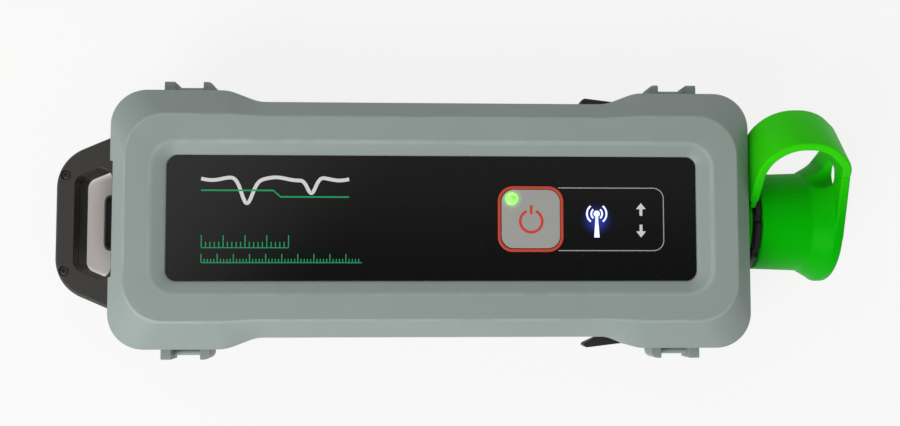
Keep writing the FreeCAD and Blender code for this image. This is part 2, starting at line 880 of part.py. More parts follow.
def make_handle_half(label, low, high, flange_low, flange_high):
    """One half of the loop between two heights, with its tongue and flange in the case."""
    half = Body(label)
    half.pad(half.outline(handle_loop(), low), high - low)
    if label == "handle_upper_half":
        top = number(high) - 0.01
        root = -number(end_x) - 0.01
        half.soften(
            "Chamfer", handle_chamfer, lambda bounds: bounds.ZMin > top and bounds.XMin < root
        )
    inner_x = -inner_end_x + handle_slot_gap
    tongue = rectangle(
        (inner_x + handle_flange + end_x) / 2,
        handle_root_width / 2,
        0,
        (inner_x + handle_flange - end_x) / 2,
        handle_offset,
    )
    half.pad(half.outline(tongue, low), high - low)
    flange = rectangle(
        handle_flange / 2,
        handle_root_width / 2 + handle_flange_wide,
        0,
        inner_x + handle_flange / 2,
        handle_offset,
    )
    half.pad(half.outline(flange, flange_low), flange_high - flange_low)
    half.pocket(half.outline(handle_hole(), high), high - low)
    return half


def make_handle():
    spots = [
        (-end_x - handle_reach + handle_band / 2, handle_offset + handle_screw_y * place)
        for place in (1, -1)
    ]
    lower = make_handle_half(
        "handle_lower_half", handle_bottom, handle_split,
        handle_bottom - handle_flange_wide, handle_split,
    )
    bite = handle_split - handle_bottom - handle_screw_floor
    lower.pocket(lower.circles(spots, handle_screw_radius, handle_split), bite)
    lower.done()
    upper = make_handle_half(
        "handle_upper_half", handle_split, handle_top,
        handle_split, handle_top + handle_flange_wide,
    )
    through = upper.circles(spots, handle_screw_radius + boss_gap, handle_split)
    upper.pocket(through, handle_upper, reverse=True)
    head_hole = upper.circles(spots, handle_screw_head_radius + boss_gap, handle_top)
    upper.pocket(head_hole, handle_screw_sink)
    upper.done()
    screws = []
    shank_low = handle_bottom + handle_screw_floor + screw_hole_gap
    head_low = handle_top - handle_screw_sink
    for i, (x, y) in enumerate(spots):
        head = cylinder(
            f"handle_screw_head_{i + 1}", (x, y, head_low), handle_screw_head_radius,
            handle_screw_head_height,
        )
        shank = cylinder(
            f"handle_screw_shank_{i + 1}", (x, y, shank_low), handle_screw_radius - fit_gap,
            head_low - shank_low,
        )
        screws.append(join(f"handle_screw_{i + 1}", [head, shank]))
    keep(join("handle_screws_group", screws), "handle_screws")


# Label panel
def make_label():
    label = Body("front_label")
    panel = rectangle(label_length / 2, label_width / 2, label_radius)
    label.pad(label.outline(panel, ledge_z), label_thickness)
    half = bezel_half + label_gap
    window = rectangle(half, half, key_radius + bezel_band, key_x, key_y)
    label.pocket(label.outline(window, ledge_z), label_thickness, reverse=True)
    label.done()


# Key in its bezel, with a lamp in it and a plunger that presses the switch
def key_square(half, radius):
    """A rounded square about the middle of the key."""
    return rectangle(half, half, radius, key_x, key_y)


def make_key():
    bezel = Body("key_bezel")
    bezel_radius = key_radius + bezel_band
    bezel_top = label_top + bezel_proud
    bezel.pad(bezel.outline(key_square(bezel_half, bezel_radius), roof_z), bezel_top - roof_z)
    flange = bezel.outline(key_square(bezel_half + bezel_flange, bezel_radius), roof_z)
    bezel.pad(flange, key_flange, reverse=True)
    opening = bezel.outline(key_square(key_half + key_gap, key_radius), bezel_top)
    bezel.pocket(opening, bezel_top - roof_z + key_flange)
    bezel.done()
    key = Body("power_button")
    key_top = label_top + key_proud
    key.pad(key.outline(key_square(key_half, key_radius), key_low), key_top - key_low)
    flange = key.outline(key_square(key_half + key_flange_wide, key_radius), key_low)
    key.pad(flange, key_flange, reverse=True)
    lamp_x = key_x - key_half + lamp_inset_x
    lamp_y = key_y + key_half - lamp_inset_y
    key.pocket(key.circles([(lamp_x, lamp_y)], lamp_radius + fit_gap, key_top), lamp_depth)
    key.done()
    lens_place = (lamp_x, lamp_y, key_top - lamp_depth)
    keep(cylinder("power_lamp_solid", lens_place, lamp_radius, lamp_depth), "power_lamp_lens")
    plunger_low = key_low - key_flange - plunger_length
    plunger_place = (key_x, key_y, plunger_low)
    keep(
        cylinder("plunger_solid", plunger_place, plunger_radius, plunger_length), "switch_plunger"
    )
    switch_place = (key_x - switch_size / 2, key_y - switch_size / 2, board_top)
    switch_height = plunger_low + switch_grip - board_top
    block = box("switch_block", switch_place, (switch_size, switch_size, switch_height))
    well = cylinder(
        "switch_well",
        (key_x, key_y, plunger_low - key_travel - switch_clear),
        plunger_radius + plunger_gap,
        switch_height,
    )
    keep(cut("switch_solid", block, [well]), "tactile_switch")


# Light pipes that stand between the lamps on the board and the label
def make_light_pipes():
    labels = ("wireless_light_pipe", "transmit_light_pipe", "receive_light_pipe")
    low = board_top + lamp_chip + pipe_gap
    for label, (x, y, radius) in zip(labels, indicators):
        stem = cylinder(f"{label}_stem", (x, y, low), radius, ledge_z - low)
        flange_place = (x, y, roof_z - pipe_flange)
        flange = cylinder(f"{label}_flange", flange_place, radius + pipe_flange, pipe_flange)
        keep(join(f"{label}_solid", [stem, flange]), label)
    chips = []
    half = lamp_chip_width / 2
    for i, (x, y, radius) in enumerate(indicators):
        place = (x - half, y - half, board_top)
        chips.append(box(f"lamp_chip_{i + 1}", place, (lamp_chip_width, lamp_chip_width, lamp_chip)))
    keep(join("lamp_chips_group", chips), "indicator_lamps")


# Main board, its shields and its screws
def make_board():
    board = Body("main_board")
    plate = rectangle(board_length / 2, board_width / 2, board_corner)
    board.pad(board.outline(plate, board_z), board_thickness)
    posts = four(post_x, post_y)
    holes = board.circles(posts, board_screw_radius + screw_hole_gap, board_z)
    board.pocket(holes, board_thickness, reverse=True)
    board.done()
    screws = []
    for i, (x, y) in enumerate(posts):
        screws.append(
            screw(
                f"board_screw_{i + 1}",
                (x, y, board_z - board_screw_head),
                board_screw_radius - fit_gap,
                board_thickness + board_screw_grip - board_screw_gap,
                board_screw_head_radius,
                board_screw_head,
            )
        )
    keep(join("board_screws_group", screws), "board_screws")
    radio_low = (radio_x, -radio_width / 2, board_z - radio_height)
    keep(shield("radio_solid", radio_low, (radio_length, radio_width, radio_height)),
         "radio_shield")
    processor_low = (processor_x, -processor_width / 2, board_top)
    processor_sizes = (processor_length, processor_width, processor_height)
    keep(shield("processor_solid", processor_low, processor_sizes), "processor_shield")
    module_low = (wireless_module_x, wireless_module_y, board_top)
    module_sizes = (wireless_module_length, wireless_module_width, wireless_module_height)
    keep(box("wireless_solid", module_low, module_sizes), "wireless_module")


def shield(name, low, sizes):
    """A folded sheet-metal can with rounded upright edges."""
    block = box(f"{name}_block", low, sizes)
    thing = doc.addObject("Part::Fillet", name)
    thing.Base = block
    doc.recompute()
    upright = []
    for i, edge in enumerate(block.Shape.Edges):
        bounds = edge.BoundBox
        if bounds.ZLength > 1 and bounds.XLength < 0.01 and bounds.YLength < 0.01:
            upright.append((i + 1, number(can_rounding), number(can_rounding)))
    thing.Edges = upright
    return thing


# Battery cells in a tray on the floor of the tub
def make_battery():
    outer = (tray_length, tray_width, tray_height)
    low_x = tray_x - tray_length / 2
    low_y = -tray_width / 2
    tray_floor = floor + tray_wall
    block = box("tray_block", (low_x, low_y, floor), outer)
    hollow = box(
        "tray_hollow",
        (low_x + tray_wall, low_y + tray_wall, tray_floor),
        (tray_length - 2 * tray_wall, tray_width - 2 * tray_wall, tray_height),
    )
    keep(cut("tray_solid", block, [hollow]), "battery_tray")
    cells = []
    height = tray_floor + cell_radius + cell_gap
    for side in (1, -1):
        for start in (tray_x - cell_length - cell_spacing / 2, tray_x + cell_spacing / 2):
            place = (start, side * (cell_radius + cell_gap), height)
            cells.append(cylinder(f"cell_{len(cells) + 1}", place, cell_radius, cell_length, "x"))
    keep(join("cells_group", cells), "battery_cells")


# Sockets on a small board behind the rubber plug
def make_sockets():
    board_low = (socket_x, -socket_board_width / 2, floor + socket_board_gap)
    board_sizes = (socket_board_length, socket_board_width, socket_board_thickness)
    keep(box("socket_board_solid", board_low, board_sizes), "socket_board")
    data_low = (socket_x, data_socket_y - data_socket_width / 2, socket_floor)
    data_sizes = (data_socket_length, data_socket_width, data_socket_height)
    keep(box("data_socket_solid", data_low, data_sizes), "data_socket")
    half = charging_socket_width / 2
    block = box(
        "charging_block",
        (socket_x, charging_socket_y - half, socket_floor),
        (charging_socket_length, charging_socket_width, charging_socket_width),
    )
    bore = cylinder(
        "charging_hole",
        (socket_x, charging_socket_y, socket_floor + half),
        charging_bore,
        charging_bore_depth,
        "x",
    )
    keep(cut("charging_solid", block, [bore]), "charging_socket")


# Rubber plug over the charging and data sockets beside the handle
def make_plug():
    plug = Body("port_plug")
    face = -end_x - plug_lift
    front = rectangle(plug_width / 2, plug_height / 2, plug_radius, plug_y, plug_z)
    plug.pad(plug.outline(front, face, "YZ_Plane"), plug_reach, reverse=True)
    tip = number(face - plug_reach) + 0.01
    plug.soften("Fillet", plug_rounding, lambda bounds: bounds.XMax < tip)
    stem = rectangle(
        plug_width / 2 - plug_step, plug_height / 2 - plug_step, plug_stem_radius, plug_y, plug_z
    )
    plug.pad(plug.outline(stem, face, "YZ_Plane"), plug_stem)
    plug.done()


# Test port: body, insulator, centre contact, gasket and nut
def turned_outline(body, points):
    """A profile to be turned about the X axis: place along it and distance from it."""
    return body.outline([(x, radius, 0) for x, radius in points], 0, "XZ_Plane")


def make_port():
    port = Body("test_port_body")
    port.revolve(
        turned_outline(
            port,
            [
                (port_tail_end, 0),
                (port_tail_end, port_tail_radius),
                (port_back - port_hub, port_tail_radius),
                (port_back - port_hub, port_hub_radius),
                (port_back, port_hub_radius),
                (port_back, port_flange_radius),
                (port_back + port_flange, port_flange_radius),
                (port_back + port_flange, port_radius),
                (port_tip - port_chamfer, port_radius),
                (port_tip, port_radius - port_chamfer),
                (port_tip, 0),
            ],
        )
    )
    bore_x = port_tip - port_bore_depth
    mouth_x = port_tip - port_mouth_depth
    mouth = port_bore + port_mouth_step
    bore = [
        (bore_x, 0),
        (bore_x, port_bore),
        (mouth_x, port_bore),
        (mouth_x, mouth),
        (port_tip + port_chamfer, mouth),
        (port_tip + port_chamfer, 0),
    ]
    port.revolve(turned_outline(port, bore), removes=True)
    core = contact_radius + contact_gap
    passage = [
        (port_tail_end - port_chamfer, 0),
        (port_tail_end - port_chamfer, core),
        (bore_x + port_chamfer, core),
        (bore_x + port_chamfer, 0),
    ]
    port.revolve(turned_outline(port, passage), removes=True)
    port.move(y=port_y, z=port_z).done()
    insulator = Body("port_insulator")
    disc = [
        (bore_x, contact_radius),
        (bore_x, port_bore - fit_gap),
        (bore_x + insulator_thickness, port_bore - fit_gap),
        (bore_x + insulator_thickness, contact_radius),
    ]
    insulator.revolve(turned_outline(insulator, disc))
    insulator.move(y=port_y, z=port_z).done()
    contact_tip = port_tip - contact_inset
    rod = cylinder(
        "contact_rod",
        (port_tail_end, port_y, port_z),
        contact_radius - fit_gap,
        contact_tip - port_tail_end,
        "x",
    )
    hole = cylinder(
        "contact_hole",
        (contact_tip - contact_bore_depth, port_y, port_z),
        contact_bore,
        2 * contact_bore_depth,
        "x",
    )
    keep(cut("contact_solid", rod, [hole]), "port_contact")
    gasket_outer = port_radius + gasket_wall
    ring("port_gasket", gasket_x, gasket_thickness, port_radius + port_gap, gasket_outer)
    ring("port_nut", nut_x, nut_thickness, port_radius + fit_gap, port_radius + nut_wall)


def ring(label, start_x, thickness, inner, outer):
    """A flat ring round the port."""
    body = cylinder(f"{label}_disc", (start_x, port_y, port_z), outer, thickness, "x")
    hole_x = start_x - thickness
    hole = cylinder(f"{label}_hole", (hole_x, port_y, port_z), inner, 3 * thickness, "x")
    keep(cut(f"{label}_solid", body, [hole]), label)


# Green rubber ring, cap and strap; the ring and the cap are drawn upright and then turned
def make_tether_ring():
    tether = Body("cap_tether_ring")
    disc = tether.circles([(0, 0)], tether_radius, tether_x, "YZ_Plane")
    tether.pad(disc, tether_thickness)
    tab = rectangle(strap_width / 2, tab_height / 2, 0, 0, tab_height / 2)
    tether.pad(tether.outline(tab, tether_x, "YZ_Plane"), tether_thickness)
    hole = tether.circles([(0, 0)], port_radius + stack_gap, tether_x, "YZ_Plane")
    tether.pocket(hole, tether_thickness, reverse=True)
    tether.turn(strap_turn - 90).move(y=port_y, z=port_z).done()


def make_cap():
    cap = Body("dust_cap")
    cap.revolve(
        turned_outline(
            cap,
            [
                (cap_start, cap_bore),
                (cap_start, cap_outer - cap_edge),
                (cap_start + cap_edge, cap_outer),
                (cap_finish - cap_flare_length, cap_end_outer),
                (cap_finish - cap_rim, cap_disc_radius - cap_edge),
                (cap_finish - cap_rim + cap_edge, cap_disc_radius),
                (cap_finish - cap_edge, cap_disc_radius),
                (cap_finish, cap_disc_radius - cap_edge),
                (cap_finish, 0),
                (cap_finish - cap_end_wall, 0),
                (cap_finish - cap_end_wall, cap_bore),
            ],
        )
    )
    neck = [
        (cap_disc_radius - neck_inset, neck_root, 0),
        (strap_width / 2, neck_height, 0),
        (-strap_width / 2, neck_height, 0),
        (neck_inset - cap_disc_radius, neck_root, 0),
    ]
    plate_x = cap_finish - strap_thickness
    cap.pad(cap.outline(neck, plate_x, "YZ_Plane"), strap_thickness)
    eyelet = cap.circles([(0, eyelet_height)], eyelet_radius, cap_finish, "YZ_Plane")
    cap.pocket(eyelet, cap_flare_length)
    cap.turn(strap_turn - 90).move(y=port_y, z=port_z).done()


def make_strap():
    """A flat band from the ring's tab, over the cap and down to the cap's neck."""
    strap = Body("cap_strap")
    root_x = tether_x + tether_thickness / 2
    neck_x = cap_finish - strap_thickness / 2
    top = neck_height + strap_rise
    root = tab_height + fit_gap
    middle = strap.path(
        [
            (root_x, root, 0),
            (root_x, top, strap_root_bend),
            (neck_x - strap_run, top, strap_top_bend),
            (neck_x, neck_height + strap_elbow, strap_elbow_bend),
            (neck_x, neck_height + fit_gap, 0),
        ]
    )
    section = rectangle(strap_thickness / 2, strap_width / 2, 0, root_x)
    strap.pipe(strap.outline(section, -root, "XZ_Plane"), middle)
    strap.turn(strap_turn).move(y=port_y, z=port_z).done()


# Semi-rigid coaxial lead from the port to the radio, held at both ends
def make_radio_lead():
    lead = Body("radio_lead")
    start = port_tail_end - fit_gap
    riser = radio_x + radio_length - radio_lead_inset
    route = lead.path(
        [
            (start, 0, 0),
            (riser, 0, radio_lead_bend),
            (riser, board_z - radio_height - fit_gap - port_z, 0),
        ],
        "XZ_Plane",
    )
    lead.pipe(lead.circles([(0, 0)], radio_lead_radius, start, "YZ_Plane"), route)
    lead.move(y=port_y, z=port_z).done()


def write_out():
    """Check every object, then write each piece to its own file."""
    doc.recompute()
    for thing in doc.Objects:
        if "Invalid" in thing.State or "Error" in thing.State:
            raise RuntimeError(f"{thing.Name} failed: {thing.State}")
    os.makedirs("parts", exist_ok=True)
    for piece in pieces:
        shape = piece.Shape
        if shape.isNull() or not shape.isValid():
            raise RuntimeError(f"{piece.Label} is not a sound shape")
        shape.exportStep(f"parts/{piece.Label}.step")
        print(f"{piece.Label}: {len(shape.Solids)} solid(s), {shape.Volume:.1f} mm3")


make_rear_case()
make_front_cover()
make_seal_frame()
make_strap_hooks()
make_case_screws()
make_lug_bars()
make_handle()
make_label()
make_key()
make_light_pipes()
make_board()
make_battery()
make_sockets()
make_plug()
make_port()
make_tether_ring()
make_cap()
make_strap()
make_radio_lead()
write_out()
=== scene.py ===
import json
import math

import bmesh
import bpy
import numpy as np
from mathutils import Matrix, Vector


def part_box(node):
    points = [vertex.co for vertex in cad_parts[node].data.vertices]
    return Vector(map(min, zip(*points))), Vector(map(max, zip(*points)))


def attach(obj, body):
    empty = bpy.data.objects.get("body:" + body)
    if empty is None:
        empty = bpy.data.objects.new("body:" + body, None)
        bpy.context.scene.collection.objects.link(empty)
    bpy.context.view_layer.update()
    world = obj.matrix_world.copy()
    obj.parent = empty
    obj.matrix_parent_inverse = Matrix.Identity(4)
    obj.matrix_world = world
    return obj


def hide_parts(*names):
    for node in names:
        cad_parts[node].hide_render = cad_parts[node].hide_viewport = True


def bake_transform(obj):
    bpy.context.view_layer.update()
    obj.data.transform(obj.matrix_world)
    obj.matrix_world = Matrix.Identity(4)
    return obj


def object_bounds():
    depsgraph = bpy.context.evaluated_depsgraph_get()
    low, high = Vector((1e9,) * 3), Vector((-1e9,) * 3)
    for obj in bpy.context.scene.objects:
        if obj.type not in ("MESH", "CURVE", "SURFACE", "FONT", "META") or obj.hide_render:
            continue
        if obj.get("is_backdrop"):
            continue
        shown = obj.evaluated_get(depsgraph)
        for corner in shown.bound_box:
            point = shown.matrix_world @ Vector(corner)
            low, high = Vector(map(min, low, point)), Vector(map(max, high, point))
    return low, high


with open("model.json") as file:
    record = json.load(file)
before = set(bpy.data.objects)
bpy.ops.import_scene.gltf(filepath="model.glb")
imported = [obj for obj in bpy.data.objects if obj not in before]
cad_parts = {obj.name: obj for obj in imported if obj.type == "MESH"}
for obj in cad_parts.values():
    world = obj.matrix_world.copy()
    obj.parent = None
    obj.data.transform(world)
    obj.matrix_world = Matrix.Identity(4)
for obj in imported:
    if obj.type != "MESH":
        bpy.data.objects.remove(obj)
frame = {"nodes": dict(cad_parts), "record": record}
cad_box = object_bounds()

# Photograph's camera
# The case lies on its back and is seen from above, from a little over the side nearest
# the viewer and a little to the handle's side of the middle.
MM = 0.001
PHOTO_WIDTH = 900
FOCAL_PIXELS = 1100
FILM_WIDTH = 36
CAMERA_PLACE = (-12.6 * MM, -22.7 * MM, 429.4 * MM)
CAMERA_TURNS = (3.716, -2.736, 0.135)
NEAREST_SEEN = 10 * MM

camera_data = bpy.data.cameras.new("camera")
camera_data.sensor_width = FILM_WIDTH
camera_data.lens = FOCAL_PIXELS / PHOTO_WIDTH * FILM_WIDTH
camera_data.clip_start = NEAREST_SEEN
camera = bpy.data.objects.new("camera", camera_data)
bpy.context.scene.collection.objects.link(camera)
camera.location = CAMERA_PLACE
camera.rotation_mode = "ZYX"
camera.rotation_euler = [math.radians(turn) for turn in CAMERA_TURNS]
bpy.context.scene.camera = camera
bpy.context.scene.view_settings.view_transform = "Standard"


# Table
# A plain matt white sheet under the case. The camera sees it shine almost white, with a faint soft
# shadow of the case.
# A grey spot under the handle's grip is painted shade, where the sheet does not glow for the
# camera.
class Tone:
    """A shader socket with arithmetic, so that a finish reads as a formula."""

    def __init__(self, finish, socket):
        self.finish = finish
        self.socket = socket

    def maths(self, operation, first, second):
        return self.finish.add("ShaderNodeMath", {"operation": operation}, {0: first, 1: second})

    def __add__(self, other):
        return self.maths("ADD", self, other)

    def __sub__(self, other):
        return self.maths("SUBTRACT", self, other)

    def __rsub__(self, other):
        return self.maths("SUBTRACT", other, self)

    def __mul__(self, other):
        return self.maths("MULTIPLY", self, other)


class Finish:
    """A material: its shader, and the nodes that vary it over the surface."""

    def __init__(self, name, colour, roughness, **constants):
        self.material = bpy.data.materials.new(name)
        self.material.use_nodes = True
        self.tree = self.material.node_tree
        self.shader = self.tree.nodes["Principled BSDF"]
        self.place = self.add("ShaderNodeTexCoord", {}, {}, "Object")
        self.set("Base Color", (*colour, 1.0))
        self.set("Roughness", roughness)
        for socket, value in constants.items():
            self.set(socket.replace("_", " "), value)

    def add(self, kind, settings, inputs, output=0):
        """One node with its settings and its inputs, as a tone of the chosen output."""
        node = self.tree.nodes.new(kind)
        for name, value in settings.items():
            setattr(node, name, value)
        for name, value in inputs.items():
            self.feed(node.inputs[name], value)
        return Tone(self, node.outputs[output])

    def feed(self, socket, value):
        """A tone is linked to the socket, and any other value is its constant."""
        if isinstance(value, Tone):
            self.tree.links.new(value.socket, socket)
        else:
            socket.default_value = value

    def set(self, name, value):
        """Give one of the shader's inputs a value."""
        self.feed(self.shader.inputs[name], value)

    def colour_so_far(self):
        """The colour that varies over the surface already, to mix another into."""
        return Tone(self, self.shader.inputs["Base Color"].links[0].from_socket)

    def noise(self, size, detail=2.0, rough=0.5):
        """Even noise between 0 and 1 whose grains are about the given size in metres."""
        inputs = {"Vector": self.place, "Scale": 1 / size, "Detail": detail, "Roughness": rough}
        return self.add("ShaderNodeTexNoise", {}, inputs)

    def over(self, value, start, end):
        """0 where a value is at the start, 1 where it is at the end, and a smooth step between."""
        inputs = {"Value": value, "From Min": start, "From Max": end}
        return self.add("ShaderNodeMapRange", {"interpolation_type": "SMOOTHSTEP"}, inputs)

    def axis(self, letter):
        """One coordinate of the surface point, in metres."""
        return self.add("ShaderNodeSeparateXYZ", {}, {0: self.place}, "XYZ".index(letter))

    def rim_line(self, top, start, full, fade, end):
        """
        A thin line just under a height: it comes up from the start to full and goes from
        the fade to the end, all of them depths below that height.
        """
        height = self.axis("Z")
        return self.over(height, top - start, top - full) - self.over(height, top - fade, top - end)

    def distance(self, centre):
        """Distance of the surface point from a centre, in metres."""
        settings = {"operation": "DISTANCE"}
        return self.add("ShaderNodeVectorMath", settings, {0: self.place, 1: centre}, "Value")

    def mix(self, factor, first, second):
        """A colour between two colours."""
        inputs = {0: factor, 6: first, 7: second}
        return self.add("ShaderNodeMix", {"data_type": "RGBA"}, inputs, 2)

    def gloss(self, roughness, swing, size, detail=2.0):
        """Uneven gloss: patches of the given size, half the swing to either side."""
        self.set("Roughness", self.noise(size, detail) * swing + (roughness - swing / 2))

    def bump(self, height, depth):
        """Small relief, whose highest point stands the given depth in metres."""
        self.set("Normal", self.add("ShaderNodeBump", {}, {"Height": height, "Distance": depth}))

    def on(self, *names):
        """Put the finish on CAD pieces."""
        for name in names:
            mesh = frame["nodes"][name].data
            mesh.materials.clear()
            mesh.materials.append(self.material)


TABLE_SIZE = 3.0
TABLE_DROP = -0.2 * MM
TABLE_WHITE = (0.90, 0.90, 0.895)
GLOW_WHITE = (0.955, 0.955, 0.95, 1.0)
GLOW_SHARE = 0.88
GRIP_X = -121 * MM
GRIP_SHADE = (0.50, 0.46, 0.45, 1.0)
GRIP_SHADE_START, GRIP_SHADE_END = 17.8 * MM, 23.2 * MM

table_mesh = bpy.data.meshes.new("table")
half_table = TABLE_SIZE / 2
corners = [(x * half_table, y * half_table, TABLE_DROP)
           for x, y in ((-1, -1), (1, -1), (1, 1), (-1, 1))]
table_mesh.from_pydata(corners, [], [(0, 1, 2, 3)])
table = bpy.data.objects.new("table", table_mesh)
bpy.context.scene.collection.objects.link(table)
sheet = Finish("table_white", TABLE_WHITE, 0.9, Specular_IOR_Level=0.1)
table_mesh.materials.append(sheet.material)
# Painted shade: a grey spot round the grip's centre, fading out towards its edge.
from_grip = sheet.distance((GRIP_X, 0.0, TABLE_DROP))
outside_painted_shade = sheet.over(from_grip, GRIP_SHADE_START, GRIP_SHADE_END)
sheet.set("Base Color", sheet.mix(outside_painted_shade, GRIP_SHADE, (*TABLE_WHITE, 1.0)))
camera_rays = sheet.add("ShaderNodeLightPath", {}, {}, "Is Camera Ray")
glow = sheet.add("ShaderNodeEmission", {}, {"Color": GLOW_WHITE})
both = sheet.add("ShaderNodeMixShader", {}, {0: camera_rays * outside_painted_shade * GLOW_SHARE, 2: glow})
sheet.tree.links.new(sheet.shader.outputs[0], both.socket.node.inputs[1])
sheet.tree.links.new(both.socket, sheet.tree.nodes["Material Output"].inputs["Surface"])
table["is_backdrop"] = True


# Studio light
# One soft lamp over the near left, a weaker and wider one over the far side, and an even
# white room, which lights the case weakly and which the camera sees as plain white.
def soft_lamp(name, place, size, power):
    """A square lamp that faces the case, its side in metres and its power in watts."""
    data = bpy.data.lights.new(name, "AREA")
    data.shape = "RECTANGLE"
    data.size = size
    data.size_y = size
    data.energy = power
    lamp = bpy.data.objects.new(name, data)
    lamp.location = place
    lamp.rotation_euler = Vector(place).to_track_quat("Z", "Y").to_euler()
    bpy.context.scene.collection.objects.link(lamp)


soft_lamp("key_lamp", place=(-0.72, -0.88, 0.9), size=0.8, power=16.5)
soft_lamp("fill_lamp", place=(-0.35, 0.85, 1.2), size=1.2, power=3.5)

ROOM_LIGHT = 0.42
world = bpy.data.worlds.new("room")
bpy.context.scene.world = world
world.use_nodes = True
room = world.node_tree
walls = room.nodes["Background"]
walls.inputs["Color"].default_value = (1.0, 1.0, 1.0, 1.0)
seen = room.nodes.new("ShaderNodeLightPath")
strength = room.nodes.new("ShaderNodeMath")
strength.operation = "MULTIPLY_ADD"
strength.inputs[1].default_value = 1 - ROOM_LIGHT
strength.inputs[2].default_value = ROOM_LIGHT
room.links.new(seen.outputs["Is Camera Ray"], strength.inputs[0])
room.links.new(strength.outputs[0], walls.inputs["Strength"])


# Case shells
# Two injection-moulded halves in sage-grey plastic with a fine satin grain, screwed
# together from the back. Their edges have the small rounding that the mould leaves, and
# the strap bars are the same plastic.
SAGE = (0.255, 0.304, 0.286)
bodies = frame["record"]["behaviour"]["bodies"]
body_of = {name: body for body, names in bodies.items() for name in names}


def shade(colour, factor):
    """A colour made lighter or darker, as four numbers."""
    return (*[min(1.0, channel * factor) for channel in colour], 1.0)


CLOUD_SIZE, SPECK_SIZE, GLOSS_PATCH = 35 * MM, 1.1 * MM, 7 * MM
CLOUD_DARK, CLOUD_LIGHT, SPECK_DARK, SPECK_SHARE = 0.94, 1.06, 0.55, 0.35
SPECK_START, SPECK_FULL, GLOSS_SWING = 0.74, 0.79, 0.14


def moulded(name, colour, roughness, grain=0.25 * MM, depth=0.012 * MM, specular=0.4):
    """Moulded plastic: cloudy colour, specks, uneven gloss and an even fine grain."""
    finish = Finish(name, colour, roughness, Specular_IOR_Level=specular)
    cloud = finish.noise(CLOUD_SIZE, 3.0)
    base = finish.mix(cloud, shade(colour, CLOUD_DARK), shade(colour, CLOUD_LIGHT))
    specks = finish.over(finish.noise(SPECK_SIZE, 1.0), SPECK_START, SPECK_FULL)
    speckled = finish.mix(specks * SPECK_SHARE, base, shade(colour, SPECK_DARK))
    finish.set("Base Color", speckled)
    finish.gloss(roughness, GLOSS_SWING, GLOSS_PATCH, 3.0)
    finish.bump(finish.noise(grain, 3.0, 0.6), depth)
    return finish


SAME_POINT = 0.001 * MM
FLAT_ANGLE = math.radians(0.6)
CREASE_ANGLE = math.radians(20)
LEVEL_WITHIN = 0.05 * MM


def merged_copy(node, name, finish):
    """A copy of a CAD piece as one closed mesh with the finish on it."""
    mesh = frame["nodes"][node].data.copy()
    mesh.name = name
    mesh.materials.clear()
    mesh.materials.append(finish.material)
    shape = bmesh.new()
    shape.from_mesh(mesh)
    bmesh.ops.remove_doubles(shape, verts=shape.verts, dist=SAME_POINT)
    bmesh.ops.dissolve_limit(shape, angle_limit=FLAT_ANGLE, verts=shape.verts, edges=shape.edges)
    shape.to_mesh(mesh)
    shape.free()
    mesh.shade_smooth()
    return mesh


def show(piece, node):
    """Put a piece in the scene in place of a CAD piece, on its body."""
    bpy.context.scene.collection.objects.link(piece)
    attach(piece, body_of[node])
    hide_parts(node)
    return piece


def mark_rims(mesh, angle, floor):
    """Mark for rounding only the sharp level edges above a height: rims and creases."""
    shape = bmesh.new()
    shape.from_mesh(mesh)
    weight = shape.edges.layers.float.new("bevel_weight_edge")
    for edge in shape.edges:
        first, second = edge.verts
        level = abs(first.co.z - second.co.z) < LEVEL_WITHIN
        high = first.co.z > floor
        edge[weight] = float(level and high and edge.calc_face_angle(0.0) > angle)
    shape.to_mesh(mesh)
    shape.free()


def softened(node, name, width, finish, segments=3, sharp=14, floor=None):
    """
    A copy of a CAD piece with its sharp edges rounded over the given width: all that turn
    by more than the sharp angle in degrees, or only the level ones above a floor.
    """
    mesh = merged_copy(node, name, finish)
    mesh.set_sharp_from_angle(angle=CREASE_ANGLE)
    piece = bpy.data.objects.new(name, mesh)
    edges = piece.modifiers.new("rounded edges", "BEVEL")
    edges.width = width
    edges.segments = segments
    if floor is None:
        edges.limit_method = "ANGLE"
        edges.angle_limit = math.radians(sharp)
    else:
        edges.limit_method = "WEIGHT"
        mark_rims(mesh, math.radians(sharp), floor)
    edges.use_clamp_overlap = False
    edges.harden_normals = True
    return show(piece, node)


RIM_DEPTH = 3 * MM
LID_ROUNDING, TUB_ROUNDING = 0.7 * MM, 0.35 * MM
sage_plastic = moulded("sage_plastic", SAGE, 0.5)
lid_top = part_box("front_cover")[1].z
# A lighter line in patches just under the lid's top: a painted highlight along its rounded edges,
# and wear.
rim_wear_and_highlight = sage_plastic.rim_line(
    lid_top, start=0.6 * MM, full=0.2 * MM, fade=0.04 * MM, end=0.01 * MM
)
rim_wear_and_highlight = rim_wear_and_highlight * sage_plastic.over(sage_plastic.noise(12 * MM, 3.0), 0.2, 0.6)
sage_wear_and_highlight = sage_plastic.mix(rim_wear_and_highlight * 0.7, sage_plastic.colour_so_far(), shade(SAGE, 1.25))
sage_plastic.set("Base Color", sage_wear_and_highlight)
softened("front_cover", "lid_moulding", LID_ROUNDING, sage_plastic, floor=lid_top - RIM_DEPTH)
softened("rear_case", "tub_moulding", TUB_ROUNDING, sage_plastic, segments=2, sharp=30)
sage_plastic.on("strap_lug_bars")


# Sealing frame and strap hooks
# A black frame clamped between the halves, and two black claws on the sides that hold
# the carrying strap.
black_plastic = moulded("black_plastic", (0.014, 0.014, 0.0145), 0.42)
softened("strap_hooks", "hook_mouldings", 0.3 * MM, black_plastic, segments=2, sharp=30)
black_plastic.on("seal_frame")
